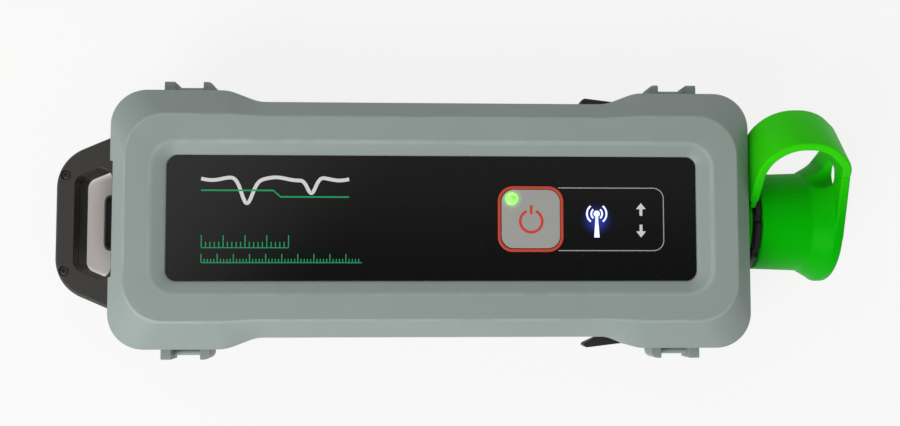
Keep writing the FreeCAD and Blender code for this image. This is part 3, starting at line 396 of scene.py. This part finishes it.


# Handle
# Two dark warm-grey mouldings screwed together through the end bar, with a satin grain and a
# lighter line
# painted along the upper rim: a painted highlight on its chamfer, and wear where the hand rubs it.
HANDLE_GREY = (0.026, 0.0235, 0.021)
WORN_HIGHLIGHT_GREY = (0.17, 0.165, 0.15, 1.0)
UPPER_ROUNDING, LOWER_ROUNDING = 0.25 * MM, 0.5 * MM
handle_plastic = moulded("handle_plastic", HANDLE_GREY, 0.48, grain=0.4 * MM, depth=0.018 * MM)
handle_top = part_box("handle_upper_half")[1].z
# Painted highlight and wear: a lighter line just under the handle's top.
handle_rim_wear_and_highlight = handle_plastic.rim_line(
    handle_top, start=0.95 * MM, full=0.76 * MM, fade=0.08 * MM, end=0.03 * MM
)
handle_wear_and_highlight = handle_plastic.mix(handle_rim_wear_and_highlight * 0.8, handle_plastic.colour_so_far(), WORN_HIGHLIGHT_GREY)
handle_plastic.set("Base Color", handle_wear_and_highlight)
softened("handle_upper_half", "handle_upper_moulding", UPPER_ROUNDING, handle_plastic, sharp=25)
softened("handle_lower_half", "handle_lower_moulding", LOWER_ROUNDING, handle_plastic, sharp=25)


# Screws
# Blackened steel in the handle, zinc-plated steel in the back of the case and under the
# main board. Each head has a six-lobed socket.
def mesh_of(name, grids, finish):
    """
    One mesh from several grids of points. Rows go along a piece and columns round it, so
    columns always close; rows close where the grid says so, and otherwise end in a face.
    """
    places, faces, start = [], [], 0
    for points, rows_close in grids:
        rows, columns = points.shape[:2]
        index = start + np.arange(rows * columns).reshape(rows, columns)
        loop = np.concatenate([index, index[:, :1]], axis=1)
        if rows_close:
            loop = np.concatenate([loop, loop[:1]], axis=0)
        else:
            faces += [index[0].tolist(), index[-1][::-1].tolist()]
        quads = np.stack([loop[:-1, :-1], loop[1:, :-1], loop[1:, 1:], loop[:-1, 1:]], axis=-1)
        faces += quads.reshape(-1, 4).tolist()
        places += points.reshape(-1, 3).tolist()
        start += rows * columns
    mesh = bpy.data.meshes.new(name)
    mesh.from_pydata(places, [], faces)
    shape = bmesh.new()
    shape.from_mesh(mesh)
    bmesh.ops.recalc_face_normals(shape, faces=shape.faces)
    shape.to_mesh(mesh)
    shape.free()
    mesh.materials.append(finish.material)
    mesh.shade_smooth()
    mesh.set_sharp_from_angle(angle=math.radians(35))
    return mesh


def made(node, name, grids, finish):
    """A new piece from grids of points, in place of a CAD piece."""
    return show(bpy.data.objects.new(name, mesh_of(name, grids, finish)), node)


TURNED_STEPS, SOCKET_LOBES = 48, 6
SOCKET_RADIUS_SHARE, SOCKET_FLOOR_SHARE, LOBE_SWELL = 0.42, 0.45, 0.125
HEAD_EDGE_SHARE = 0.8
SCREW_AXIS = 0.01


def upright_grid(centre, radius, level, lobed=0.0, up=1):
    """
    A part turned about a vertical axis: radius and height follow a profile, and where it
    is lobed the radius swells and shrinks six times round by that share.
    """
    radius, level = np.asarray(radius, float), np.asarray(level, float)
    turn = np.linspace(0, 2 * np.pi, TURNED_STEPS, endpoint=False)
    share = np.broadcast_to(lobed, len(radius))[:, None]
    around = radius[:, None] * (1 + share * np.cos(SOCKET_LOBES * turn)[None, :])
    x = centre[0] + around * np.cos(turn)
    y = centre[1] + around * np.sin(turn)
    z = np.broadcast_to(centre[2] + up * level[:, None], x.shape)
    return np.stack([x, y, z], axis=-1) * MM, False


def screw_grid(centre, head, head_height, shank, length, up):
    """A screw from the floor of its six-lobed socket, out over the head and down the shank."""
    socket = head * SOCKET_RADIUS_SHARE
    floor = head_height * SOCKET_FLOOR_SHARE
    edge = HEAD_EDGE_SHARE
    radius = [SCREW_AXIS, socket, socket, head * edge, head, head, shank, shank, SCREW_AXIS]
    level = [floor, floor, head_height, head_height, head_height * edge, 0, 0, -length, -length]
    lobed = np.array([1, 1, 1, 0, 0, 0, 0, 0, 0]) * LOBE_SWELL
    return upright_grid(centre, radius, level, lobed, up)


def metal(name, colour, roughness):
    """Plated metal: a little tarnish in patches, uneven gloss and fine scratches."""
    finish = Finish(name, colour, roughness, Metallic=1.0)
    patches = finish.noise(4 * MM, 4.0, 0.6)
    finish.set("Base Color", finish.mix(patches, shade(colour, 0.86), shade(colour, 1.08)))
    finish.gloss(roughness, 0.2, 1.5 * MM, 3.0)
    finish.bump(finish.noise(0.4 * MM), 0.004 * MM)
    return finish


def screw_set(node, name, finish, head, height, shank, up):
    """Screws that fill a CAD node's box: one at each corner, or a row if the box is narrow."""
    low, high = [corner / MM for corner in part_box(node)]
    length = high.z - low.z - height
    seat = high.z - height if up > 0 else low.z + height
    columns = sorted({round(low.x + head, 3), round(high.x - head, 3)})
    grids = [
        screw_grid((x, y, seat), head, height, shank, length, up)
        for x in columns
        for y in (low.y + head, high.y - head)
    ]
    made(node, name, grids, finish)


blackened = metal("blackened_steel", (0.05, 0.048, 0.046), 0.45)
zinc = metal("zinc_plate", (0.56, 0.56, 0.55), 0.34)
screw_set("handle_screws", "handle_screw_pair", blackened, head=1.6, height=1.0, shank=0.95, up=1)
screw_set("case_screws", "case_screw_set", zinc, head=2.8, height=2.2, shank=1.45, up=-1)
screw_set("board_screws", "board_screw_set", zinc, head=2.2, height=1.6, shank=1.05, up=-1)


# Label
# A glossy black printed panel glued into the sunk seat. Its colour carries a painted reflection:
# lighter on the far side than on the near side, and a painted sheen that makes it paler at the
# handle's end. Its print is a plain sweep trace with a limit line, two ruled scales, an outline
# beside the key, a lit mast with waves and two arrows.
LABEL_BLACK = (0.0035, 0.0037, 0.0042)
LABEL_REFLECTION_FAR, LABEL_BLACK_NEAR = (0.0085, 0.0085, 0.0088, 1.0), (0.0015, 0.0017, 0.0022, 1.0)
LABEL_SHEEN_GREY = (0.026, 0.0258, 0.026, 1.0)
DUST_GREY = (0.12, 0.12, 0.12, 1.0)
UNLIT = (0.0, 0.0, 0.0, 1.0)
WIRELESS_GLOW_BLUE = (0.02, 0.035, 0.34, 1.0)
WIRELESS = (56.35, -0.45)
HALO_START, HALO_END = 0.8 * MM, 7.2 * MM
label_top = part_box("front_label")[1].z / MM
label_gloss = Finish("label_gloss", LABEL_BLACK, 0.16, Specular_IOR_Level=0.14)
smudge = label_gloss.noise(12 * MM, 4.0, 0.6)
dust = label_gloss.over(label_gloss.noise(0.7 * MM, 1.0), 0.76, 0.8)
# Painted reflection: the black is lighter towards the far side, and a slanted painted sheen is
# paler at the handle's end.
near_without_reflection = 1 - label_gloss.over(label_gloss.axis("Y"), -22 * MM, 22 * MM)
slant = label_gloss.axis("X") - label_gloss.axis("Y") * 0.8
sheen = 1 - label_gloss.over(slant, -105 * MM, -20 * MM)
reflected_panel = label_gloss.mix(near_without_reflection, LABEL_REFLECTION_FAR, LABEL_BLACK_NEAR)
reflected_panel = label_gloss.mix(sheen, reflected_panel, LABEL_SHEEN_GREY)
label_gloss.set("Base Color", label_gloss.mix(dust * 0.25, reflected_panel, DUST_GREY))
label_gloss.set("Roughness", smudge * 0.16 + 0.1)
label_gloss.bump(label_gloss.noise(4 * MM), 0.003 * MM)
# A painted blue glow spreads round the lit wireless mark on the label.
from_mark = label_gloss.distance((WIRELESS[0] * MM, WIRELESS[1] * MM, label_top * MM))
halo = 1 - label_gloss.over(from_mark, HALO_START, HALO_END)
label_gloss.set("Emission Color", label_gloss.mix(halo * halo, UNLIT, WIRELESS_GLOW_BLUE))
label_gloss.set("Emission Strength", 1.0)
label_gloss.on("front_label")

INK = 0.03
PRINT_TOP = label_top + INK


def strip(path, width, top, closed=False):
    """
    A flat printed line: at each point of the path, half the width to either side square
    to the path, and the ink's thickness down from its top.
    """
    path = np.asarray(path, float)
    half = np.broadcast_to(np.asarray(width, float) / 2, len(path))
    if closed:
        ahead = np.roll(path, -1, axis=0) - np.roll(path, 1, axis=0)
    else:
        ahead = np.gradient(path, axis=0)
    ahead /= np.linalg.norm(ahead, axis=1)[:, None]
    side = np.stack([-ahead[:, 1], ahead[:, 0]], axis=1) * half[:, None]
    edges = [path + side, path - side, path - side, path + side]
    levels = [top, top, top - INK, top - INK]
    rows = [np.column_stack([edge, np.full(len(path), level)])
            for edge, level in zip(edges, levels)]
    return np.stack(rows, axis=1) * MM, closed


def arc(centre, radius, start, end, steps=40):
    """Points round a circle from one angle to another, in degrees."""
    turn = np.radians(np.linspace(start, end, steps))
    return np.column_stack([centre[0] + radius * np.cos(turn), centre[1] + radius * np.sin(turn)])


def printed(name, marks, finish, body):
    """One thin print made of several strips."""
    piece = bpy.data.objects.new(name, mesh_of(name, marks, finish))
    bpy.context.scene.collection.objects.link(piece)
    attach(piece, body)


def ink(name, colour, glow=0.0):
    """Screen-printed ink, slightly uneven, with light behind it where the mark is lit."""
    finish = Finish(name, colour, 0.4, Specular_IOR_Level=0.3)
    uneven = finish.noise(0.6 * MM)
    finish.set("Base Color", finish.mix(uneven, shade(colour, 0.88), shade(colour, 1.05)))
    finish.gloss(0.4, 0.2, 0.6 * MM)
    finish.set("Emission Color", (*colour, 1.0))
    finish.set("Emission Strength", glow)
    return finish


def dip(along, place, width, depth):
    """A bell-shaped dip: the depth times e to the minus square of distance over width."""
    return depth * np.exp(-(((along - place) / width) ** 2))


white_ink = ink("white_ink", (0.66, 0.64, 0.66))
green_ink = ink("green_ink", (0.01, 0.30, 0.11))
grey_ink = ink("grey_ink", (0.36, 0.36, 0.36))

PRINT_START, TRACE_END, TRACE_LEVEL, TRACE_POINTS = -79.5, -29.2, 13.4, 150
TRACE_WIDTH, RIPPLE, RIPPLE_LENGTH = 1.25, 0.5, 2.3
sweep = np.linspace(PRINT_START, TRACE_END, TRACE_POINTS)
wavy = TRACE_LEVEL + RIPPLE * np.sin(sweep / RIPPLE_LENGTH)
dips = dip(sweep, place=-64, width=2.6, depth=8.2) + dip(sweep, place=-42, width=2.0, depth=5.2)
trace = strip(np.column_stack([sweep, wavy - dips]), TRACE_WIDTH, PRINT_TOP)
printed("sweep_trace", [trace], white_ink, "housing")

BASE_LINE, TICK_LINE, LIMIT_WIDTH = 0.3, 0.35, 0.55
LIMIT_HIGH, LIMIT_LOW, LIMIT_STEP_START, LIMIT_STEP_END = 9.4, 7.2, -55.0, -52.5


def scale(start, end, level, step, short, long):
    """A ruled scale: a line with short marks, and a long mark at every fifth."""
    marks = [strip([(start, level), (end, level)], BASE_LINE, PRINT_TOP)]
    for i in range(int((end - start) / step) + 1):
        x = start + i * step
        tick_end = level + (long if i % 5 == 0 else short)
        marks.append(strip([(x, level + BASE_LINE / 2), (x, tick_end)], TICK_LINE, PRINT_TOP))
    return marks


coarse_scale = scale(-79.2, -49.7, level=-10.2, step=1.475, short=2.0, long=4.3)
fine_scale = scale(-79.2, -24.7, level=-15.3, step=1.09, short=1.3, long=3.0)
limit_path = [
    (PRINT_START, LIMIT_HIGH), (LIMIT_STEP_START, LIMIT_HIGH),
    (LIMIT_STEP_END, LIMIT_LOW), (TRACE_END, LIMIT_LOW),
]
limit_line = strip(limit_path, LIMIT_WIDTH, PRINT_TOP + INK)
green_marks = coarse_scale + fine_scale + [limit_line]
printed("green_scales", green_marks, green_ink, "housing")

OUTLINE_TOP, OUTLINE_LOW, OUTLINE_END, OUTLINE_CORNER = 10.6, -11.1, 79.7, 3.6
OUTLINE_WIDTH, OUTLINE_TUCK = 0.32, 3.4
key_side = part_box("key_bezel")[1].x / MM - OUTLINE_TUCK
turn_x = OUTLINE_END - OUTLINE_CORNER
outline = np.vstack([
    [(key_side, OUTLINE_TOP)],
    arc((turn_x, OUTLINE_TOP - OUTLINE_CORNER), OUTLINE_CORNER, 90, 0),
    arc((turn_x, OUTLINE_LOW + OUTLINE_CORNER), OUTLINE_CORNER, 0, -90),
    [(key_side, OUTLINE_LOW)],
])
outline_strip = strip(outline, OUTLINE_WIDTH, PRINT_TOP)
printed("key_outline", [outline_strip], grey_ink, "housing")

ARROW_X, TRANSMIT_Y, RECEIVE_Y, ARROW_HALF = 71.8, 3.2, -4.3, 2.2
ARROW_NECK, ARROW_SHAFT, ARROW_HEAD, ARROW_TIP = 0.1, 1.0, 3.4, 0.05


def arrow(y, way):
    """An upright arrow: a shaft, and a head that narrows to a point."""
    tail, neck, tip = y - way * ARROW_HALF, y + way * ARROW_NECK, y + way * ARROW_HALF
    shaft = strip([(ARROW_X, tail), (ARROW_X, neck)], ARROW_SHAFT, PRINT_TOP)
    head = strip([(ARROW_X, neck), (ARROW_X, tip)], [ARROW_HEAD, ARROW_TIP], PRINT_TOP)
    return [shaft, head]


arrows = arrow(TRANSMIT_Y, 1) + arrow(RECEIVE_Y, -1)
printed("signal_arrows", arrows, white_ink, "housing")

MAST_FOOT, MAST_RISE, MAST_WIDTHS = 6.1, 2.1, [1.9, 0.7]
MAST_KNOB, WAVE_RADII, WAVE_HALF_ANGLE, WAVE_LINE = 0.55, (1.9, 3.4), 52, 0.62
foot = (WIRELESS[0], WIRELESS[1] - MAST_FOOT)
mast_top = (WIRELESS[0], WIRELESS[1] + MAST_RISE)
knob = arc(mast_top, MAST_KNOB, 0, 354)
waves = [
    strip([foot, mast_top], MAST_WIDTHS, PRINT_TOP),
    strip(knob, MAST_KNOB * 2, PRINT_TOP + INK, closed=True),
]
for radius in WAVE_RADII:
    for middle in (0, 180):
        wave = arc(mast_top, radius, middle - WAVE_HALF_ANGLE, middle + WAVE_HALF_ANGLE)
        waves.append(strip(wave, WAVE_LINE, PRINT_TOP))
lit_ink = ink("lit_ink", (0.66, 0.70, 1.0), glow=0.75)
printed("wireless_waves", waves, lit_ink, "housing")


# Power key
# A light grey moulded key with its symbol in red ink, in a red-orange surround, and a
# green lamp glowing through a round window in its corner.
surround = moulded("surround_red", (0.50, 0.050, 0.022), 0.38, grain=0.4 * MM, depth=0.006 * MM)
softened("key_bezel", "key_surround", 0.3 * MM, surround)

KEY_GLOW = (0.05, 0.20, 0.03, 1.0)
KEY_GLOW_START, KEY_GLOW_END = 1.9 * MM, 4.2 * MM
key_grey = moulded("key_grey", (0.325, 0.325, 0.305), 0.5, grain=0.3 * MM, depth=0.008 * MM)
key_grey.on("power_button")
lamp_low, lamp_high = [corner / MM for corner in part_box("power_lamp_lens")]
lamp = ((lamp_low.x + lamp_high.x) / 2, (lamp_low.y + lamp_high.y) / 2, lamp_high.z)
lamp_spot = [value * MM for value in lamp]
# A painted green glow round the lamp on the key's grey stands for the lamp's light spilling into
# it.
glow_round = 1 - key_grey.over(key_grey.distance(lamp_spot), KEY_GLOW_START, KEY_GLOW_END)
key_grey.set("Emission Color", key_grey.mix(glow_round, UNLIT, KEY_GLOW))
key_grey.set("Emission Strength", 1.0)

ICON_X, ICON_Y, ICON_RADIUS, ICON_LINE, ICON_GAP = 33.5, -1.0, 3.8, 0.92, 25
BAR_START, BAR_END = 2.5, 5.6
icon_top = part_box("power_button")[1].z / MM + INK
ring = arc((ICON_X, ICON_Y), ICON_RADIUS, 90 + ICON_GAP, 450 - ICON_GAP, steps=80)
bar = [(ICON_X, ICON_Y + BAR_START), (ICON_X, ICON_Y + BAR_END)]
icon = [strip(path, ICON_LINE, icon_top) for path in (ring, bar)]
red_ink = ink("red_ink", (0.60, 0.045, 0.02))
printed("power_symbol", icon, red_ink, "power_key")

LENS_GREEN, LENS_BRIGHT = (0.33, 0.92, 0.13, 1.0), (0.62, 1.0, 0.38, 1.0)
LENS_DARK = (0.10, 0.72, 0.03, 1.0)
LAMP_RADIUS, LAMP_RISE, LENS_AXIS, DOME_STEPS = 2.28, 0.35, 0.02, 10
lamp_green = Finish("lamp_green", (0.05, 0.20, 0.03), 0.3)
dark_centre = (lamp_spot[0] + 0.6 * MM, lamp_spot[1] + 0.2 * MM, lamp_spot[2])
dark_spot = 1 - lamp_green.over(lamp_green.distance(dark_centre), 0.3 * MM, 1.2 * MM)
sparkle = lamp_green.over(lamp_green.noise(0.6 * MM), 0.4, 0.7)
core = lamp_green.mix(sparkle, LENS_GREEN, LENS_BRIGHT)
lamp_green.set("Emission Color", lamp_green.mix(dark_spot * 0.8, core, LENS_DARK))
lamp_green.set("Emission Strength", 1.0)
lamp_green.gloss(0.3, 0.2, 1 * MM)
lamp_green.bump(lamp_green.noise(1 * MM), 0.005 * MM)
rise = np.linspace(0, np.pi / 2, DOME_STEPS)
dome_radius = np.append(LAMP_RADIUS * np.cos(rise[:-1]), LENS_AXIS)
lens_radius = np.concatenate([[LENS_AXIS, LAMP_RADIUS], dome_radius])
lens_level = np.concatenate([[lamp_low.z - lamp_high.z] * 2, LAMP_RISE * np.sin(rise)])
lens = upright_grid(lamp, lens_radius, lens_level)
made("power_lamp_lens", "lamp_dome", [lens], lamp_green)


# Test port
# A coaxial connector in white bronze: a threaded barrel through the end wall, a white
# insulator, a silver contact, a rubber gasket and a black ring nut with eight slots.
port_axis = (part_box("test_port_body")[0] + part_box("test_port_body")[1]) / 2 / MM
NOTCH_STEEPNESS, NOTCH_START = 6, 4.6


def turned_grid(profile, steps=96, thread=None, notches=None):
    """
    A turned part: the profile's radius carried round the port's axis. A thread lowers
    the outer radius by a wave that climbs one pitch a turn, and notches lower it in
    places all round.
    """
    along, radius = np.array(profile, float).T
    turn = np.linspace(0, 2 * np.pi, steps, endpoint=False)[None, :]
    around = np.broadcast_to(radius[:, None], (len(along), steps)).copy()
    if thread:
        start, end, pitch, depth = thread
        outer = radius > radius.max() - 2 * depth - 1
        cut = (along > start) & (along < end) & outer
        wave = np.abs(((along[:, None] / pitch - turn / (2 * np.pi)) % 1) * 2 - 1)
        around -= depth * wave * cut[:, None]
    if notches:
        count, depth = notches
        notch = np.clip(np.cos(count * turn) * NOTCH_STEEPNESS - NOTCH_START, 0, 1)
        around -= depth * notch * (radius > radius.mean())[:, None]
    y = port_axis.y + around * np.cos(turn)
    z = port_axis.z + around * np.sin(turn)
    x = np.broadcast_to(along[:, None], y.shape)
    return np.stack([x, y, z], axis=-1) * MM, True


port_low, port_high = [corner.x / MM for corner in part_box("test_port_body")]
PORT_RADIUS, PORT_MOUTH, PORT_BORE, PORT_CORE = 14.3, 11.4, 8.2, 3.7
MOUTH_DEPTH, BORE_DEPTH, MOUTH_EDGE, PORT_EDGE, PORT_STEP = 8, 17, 0.3, 1.0, 0.2
TAIL_RADIUS, TAIL_EDGE, COLLAR_RADIUS, COLLAR_LENGTH = 5.0, 0.3, 8.0, 3
FLANGE_PLACE, FLANGE_THICKNESS, FLANGE_RADIUS = 9.0, 2.8, 15.8
THREAD_PITCH, THREAD_DEPTH, THREAD_LENGTH, THREAD_STOP = 1.5, 0.85, 18.0, 0.9
flange_start = port_low + FLANGE_PLACE
flange_end = flange_start + FLANGE_THICKNESS
collar_start = flange_start - COLLAR_LENGTH
thread_start = port_high - THREAD_LENGTH
thread_steps = np.arange(thread_start, port_high - PORT_EDGE, THREAD_PITCH / 8)
tail = [
    (port_low, PORT_CORE), (port_low, TAIL_RADIUS - TAIL_EDGE),
    (port_low + TAIL_EDGE, TAIL_RADIUS), (collar_start, TAIL_RADIUS),
]
flange = [
    (collar_start, COLLAR_RADIUS), (flange_start, COLLAR_RADIUS),
    (flange_start, FLANGE_RADIUS), (flange_end, FLANGE_RADIUS), (flange_end, PORT_RADIUS),
]
threaded = [(step, PORT_RADIUS) for step in thread_steps]
mouth = [
    (port_high - PORT_EDGE, PORT_RADIUS - PORT_STEP), (port_high, PORT_RADIUS - PORT_EDGE),
    (port_high, PORT_MOUTH + MOUTH_EDGE), (port_high - MOUTH_EDGE, PORT_MOUTH),
    (port_high - MOUTH_DEPTH, PORT_MOUTH), (port_high - MOUTH_DEPTH, PORT_BORE),
    (port_high - BORE_DEPTH, PORT_BORE), (port_high - BORE_DEPTH, PORT_CORE),
]
thread = (thread_start, port_high - THREAD_STOP, THREAD_PITCH, THREAD_DEPTH)
barrel = turned_grid(tail + flange + threaded + mouth, thread=thread)
bronze = metal("white_bronze", (0.70, 0.69, 0.65), 0.28)
made("test_port_body", "port_barrel", [barrel], bronze)
metal("contact_silver", (0.80, 0.77, 0.68), 0.22).on("port_contact")
white_plastic = moulded("white_plastic", (0.75, 0.75, 0.73), 0.4)
white_plastic.on("port_insulator")

NUT_INNER, NUT_OUTER, NUT_EDGE = 14.35, 17.4, 0.4
NUT_STEPS, NUT_SLOTS, NUT_SLOT_DEPTH = 192, 8, 1.1
nut_low, nut_high = [corner.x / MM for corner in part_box("port_nut")]
nut_profile = [
    (nut_low, NUT_INNER + NUT_EDGE), (nut_low, NUT_OUTER - NUT_EDGE),
    (nut_low + NUT_EDGE, NUT_OUTER), (nut_high - NUT_EDGE, NUT_OUTER),
    (nut_high, NUT_OUTER - NUT_EDGE), (nut_high, NUT_INNER + NUT_EDGE),
    (nut_high - NUT_EDGE, NUT_INNER), (nut_low + NUT_EDGE, NUT_INNER),
]
nut = turned_grid(nut_profile, NUT_STEPS, notches=(NUT_SLOTS, NUT_SLOT_DEPTH))
nut_black = moulded("nut_black", (0.008, 0.008, 0.0085), 0.36, 0.5 * MM, 0.008 * MM, specular=0.3)
made("port_nut", "port_ring_nut", [nut], nut_black)
black_rubber = moulded("black_rubber", (0.016,) * 3, 0.62, 0.3 * MM, 0.01 * MM, specular=0.3)
black_rubber.on("port_gasket")


# Rubber cap
# One bright green moulding with a flared end disc and a neck with an eyelet, and a matching ring
# with a flat band that loops over the cap to the neck. The band is painted a lighter, yellower
# green the further it rises from the port's axis: painted light on the raised band.
CAP_GREEN = (0.002, 0.40, 0.002)
LIT_BAND_GREEN = (0.030, 0.60, 0.003, 1.0)
GREEN_SHEEN = (0.2, 1.0, 0.15, 1.0)
BAND_LIGHT_START, BAND_LIGHT_FULL = 12 * MM, 40 * MM
STRAP_TURN = math.radians(45)
OUT = np.array([0, math.cos(STRAP_TURN), math.sin(STRAP_TURN)])
ACROSS = np.array([0, -math.sin(STRAP_TURN), math.cos(STRAP_TURN)])
green_rubber = moulded("green_rubber", CAP_GREEN, 0.38, 0.5 * MM, 0.009 * MM, specular=0.1)
green_rubber.set("Specular Tint", GREEN_SHEEN)
axis_height = float(port_axis @ Vector(OUT)) * MM
outwards = green_rubber.axis("Y") * OUT[1] + green_rubber.axis("Z") * OUT[2] - axis_height
# Painted light: the green turns lighter and yellower further out from the port's axis.
band_light_share = green_rubber.over(outwards, BAND_LIGHT_START, BAND_LIGHT_FULL)
lit_and_shaded_greens = green_rubber.mix(band_light_share, green_rubber.colour_so_far(), LIT_BAND_GREEN)
green_rubber.set("Base Color", lit_and_shaded_greens)


def fused(piece, voxel, rounds):
    """Grow a piece's shells into one skin and round its edges, as a rubber mould leaves them."""
    skin = piece.modifiers.new("one skin", "REMESH")
    skin.mode = "VOXEL"
    skin.voxel_size = voxel
    skin.use_smooth_shade = True
    rounding = piece.modifiers.new("rounded", "SMOOTH")
    rounding.factor = 0.5
    rounding.iterations = rounds


cap_mesh = merged_copy("dust_cap", "cap_moulding", green_rubber)
cap = show(bpy.data.objects.new("cap_moulding", cap_mesh), "dust_cap")
fused(cap, voxel=0.42 * MM, rounds=5)

BEND_STEPS, RUN_STEPS, CORNER_STEPS = 22, 8, 6


def rounded_path(points, radii):
    """
    A path of straight runs with an arc at each inner point: the arc starts and ends at
    radius times the tangent of half the turn from the point.
    """
    points = [np.array(point, float) for point in points]
    pieces, last = [], points[0]
    for before, corner, after, radius in zip(points, points[1:], points[2:], radii):
        back = (before - corner) / np.linalg.norm(before - corner)
        on = (after - corner) / np.linalg.norm(after - corner)
        half_turn = (math.pi - math.acos(np.clip(back @ on, -1, 1))) / 2
        reach = radius * math.tan(half_turn)
        first, second = corner + back * reach, corner + on * reach
        centre = corner + (back + on) / np.linalg.norm(back + on) * radius / math.cos(half_turn)
        pieces.append(np.linspace(last, first, RUN_STEPS, endpoint=False))
        share = np.linspace(0, 1, BEND_STEPS)[:, None]
        bend = (first - centre) * np.sin((1 - share) * 2 * half_turn)
        bend = bend + (second - centre) * np.sin(share * 2 * half_turn)
        pieces.append(centre + bend / math.sin(2 * half_turn))
        last = second
    pieces.append(np.linspace(last, points[-1], RUN_STEPS)[1:])
    return np.vstack(pieces)


def rounded_section(half_width, half_height, radius):
    """A rectangle with a quarter circle at each corner, as offsets in two directions."""
    turn = np.linspace(0, np.pi / 2, CORNER_STEPS)
    quarters = []
    for i, (x, y) in enumerate(((1, 1), (-1, 1), (-1, -1), (1, -1))):
        angle = turn + i * np.pi / 2
        corner = np.array([x * (half_width - radius), y * (half_height - radius)])
        quarters.append(corner + radius * np.column_stack([np.cos(angle), np.sin(angle)]))
    return np.vstack(quarters)


def swept(path, half_thickness, half_width, edge):
    """
    A flat bar along a path in the plane of the port's axis and the outward direction: a
    rounded section is carried along, square to the path.
    """
    ahead = np.gradient(path, axis=0)
    ahead /= np.linalg.norm(ahead, axis=1)[:, None]
    outward = np.stack([-ahead[:, 1], ahead[:, 0]], axis=1)
    section = rounded_section(half_thickness, half_width, edge)
    flat = path[:, None, :] + outward[:, None, :] * section[None, :, :1]
    along = flat[..., :1] * np.array([1.0, 0, 0])
    place = along + flat[..., 1:] * OUT + section[None, :, 1:] * ACROSS
    return (place + np.array([0, port_axis.y, port_axis.z])) * MM, False


BAND_HALF_WIDTH, BAND_HALF_THICKNESS, BAND_EDGE = 10.0, 1.6, 0.75
BAND_ROOT, BAND_TOP, BAND_RUN, BAND_TURN, BAND_END = 18.6, 42.9, 20.5, 34.0, 29.6
BAND_BENDS = [13.4, 14.4, 8.4]
ring_low, ring_high = [corner.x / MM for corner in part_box("cap_tether_ring")]
cap_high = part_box("dust_cap")[1].x / MM
root_x = (ring_low + ring_high) / 2
neck_x = cap_high - BAND_HALF_THICKNESS
band_points = [
    (root_x, BAND_ROOT), (root_x, BAND_TOP), (root_x + BAND_RUN, BAND_TOP),
    (neck_x, BAND_TURN), (neck_x, BAND_END),
]
band_path = rounded_path(band_points, BAND_BENDS)
band_grid = swept(band_path, BAND_HALF_THICKNESS, BAND_HALF_WIDTH, BAND_EDGE)
band = bpy.data.objects.new("cap_band", mesh_of("cap_band", [band_grid], green_rubber))
bpy.context.scene.collection.objects.link(band)
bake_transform(band)
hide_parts("cap_strap")

RING_INNER, RING_OUTER, RING_THICKNESS = 14.8, 16.9, 1.4
TAB_START, TAB_STEP, TAB_EDGE = 15.4, 3.2, 0.5
ring_profile = [
    (ring_low, RING_INNER), (ring_low, RING_OUTER),
    (ring_low + RING_THICKNESS, RING_OUTER), (ring_low + RING_THICKNESS, RING_INNER),
]
tab_path = np.array([(root_x, TAB_START + step * TAB_STEP) for step in range(3)])
tab = swept(tab_path, (ring_high - ring_low) / 2, BAND_HALF_WIDTH, TAB_EDGE)
ring_grids = [turned_grid(ring_profile), tab]
tether_ring = made("cap_tether_ring", "tether_ring_moulding", ring_grids, green_rubber)
fused(tether_ring, voxel=0.35 * MM, rounds=3)


# Socket plug
# A black rubber plug with a rounded front, pressed into the end wall under the handle.
# Its front is painted greyer: a painted reflection of the bright table on its rounded edge.
PLUG_BLACK = (0.018, 0.018, 0.018)
PLUG_FRONT_HIGHLIGHT = (0.2, 0.2, 0.19, 1.0)
HIGHLIGHT_DEPTH_START, HIGHLIGHT_DEPTH_END = 0.2 * MM, 1.6 * MM
plug_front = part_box("port_plug")[0].x
plug_rubber = moulded("plug_rubber", PLUG_BLACK, 0.5, 0.3 * MM, 0.01 * MM)
along_plug = plug_rubber.axis("X")
front_highlight = 1 - plug_rubber.over(along_plug, plug_front + HIGHLIGHT_DEPTH_START, plug_front + HIGHLIGHT_DEPTH_END)
plug_rubber.set("Base Color", plug_rubber.mix(front_highlight, (*PLUG_BLACK, 1.0), PLUG_FRONT_HIGHLIGHT))
plug_rubber.on("port_plug")


# Inside the case
# Circuit boards with green mask, tin-plated shields, a battery pack in blue wrap, and
# small black mouldings; clear acrylic rods lead light up to the label.
plated = metal("tin_plate", (0.60, 0.60, 0.58), 0.36)
plated.on("radio_shield", "processor_shield", "wireless_module", "data_socket")
metal("lead_copper", (0.66, 0.60, 0.52), 0.3).on("radio_lead")
board_green = moulded("board_green", (0.012, 0.10, 0.035), 0.3, 1.2 * MM, 0.02 * MM)
board_green.on("main_board", "socket_board")
inner_black = moulded("inner_black", (0.02, 0.02, 0.02), 0.5)
inner_black.on("tactile_switch", "switch_plunger", "charging_socket", "battery_tray")
moulded("cell_wrap", (0.05, 0.15, 0.40), 0.3, 2 * MM, 0.01 * MM).on("battery_cells")
white_plastic.on("indicator_lamps")
acrylic = Finish("acrylic", (0.86, 0.90, 0.93), 0.1, Transmission_Weight=0.9, IOR=1.49)
acrylic.bump(acrylic.noise(2 * MM), 0.004 * MM)
acrylic.on("wireless_light_pipe", "transmit_light_pipe", "receive_light_pipe")

visual_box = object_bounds()
for name, box in (("cad", cad_box), ("visual", visual_box)):
    corners = [[float(value) for value in corner] for corner in box]
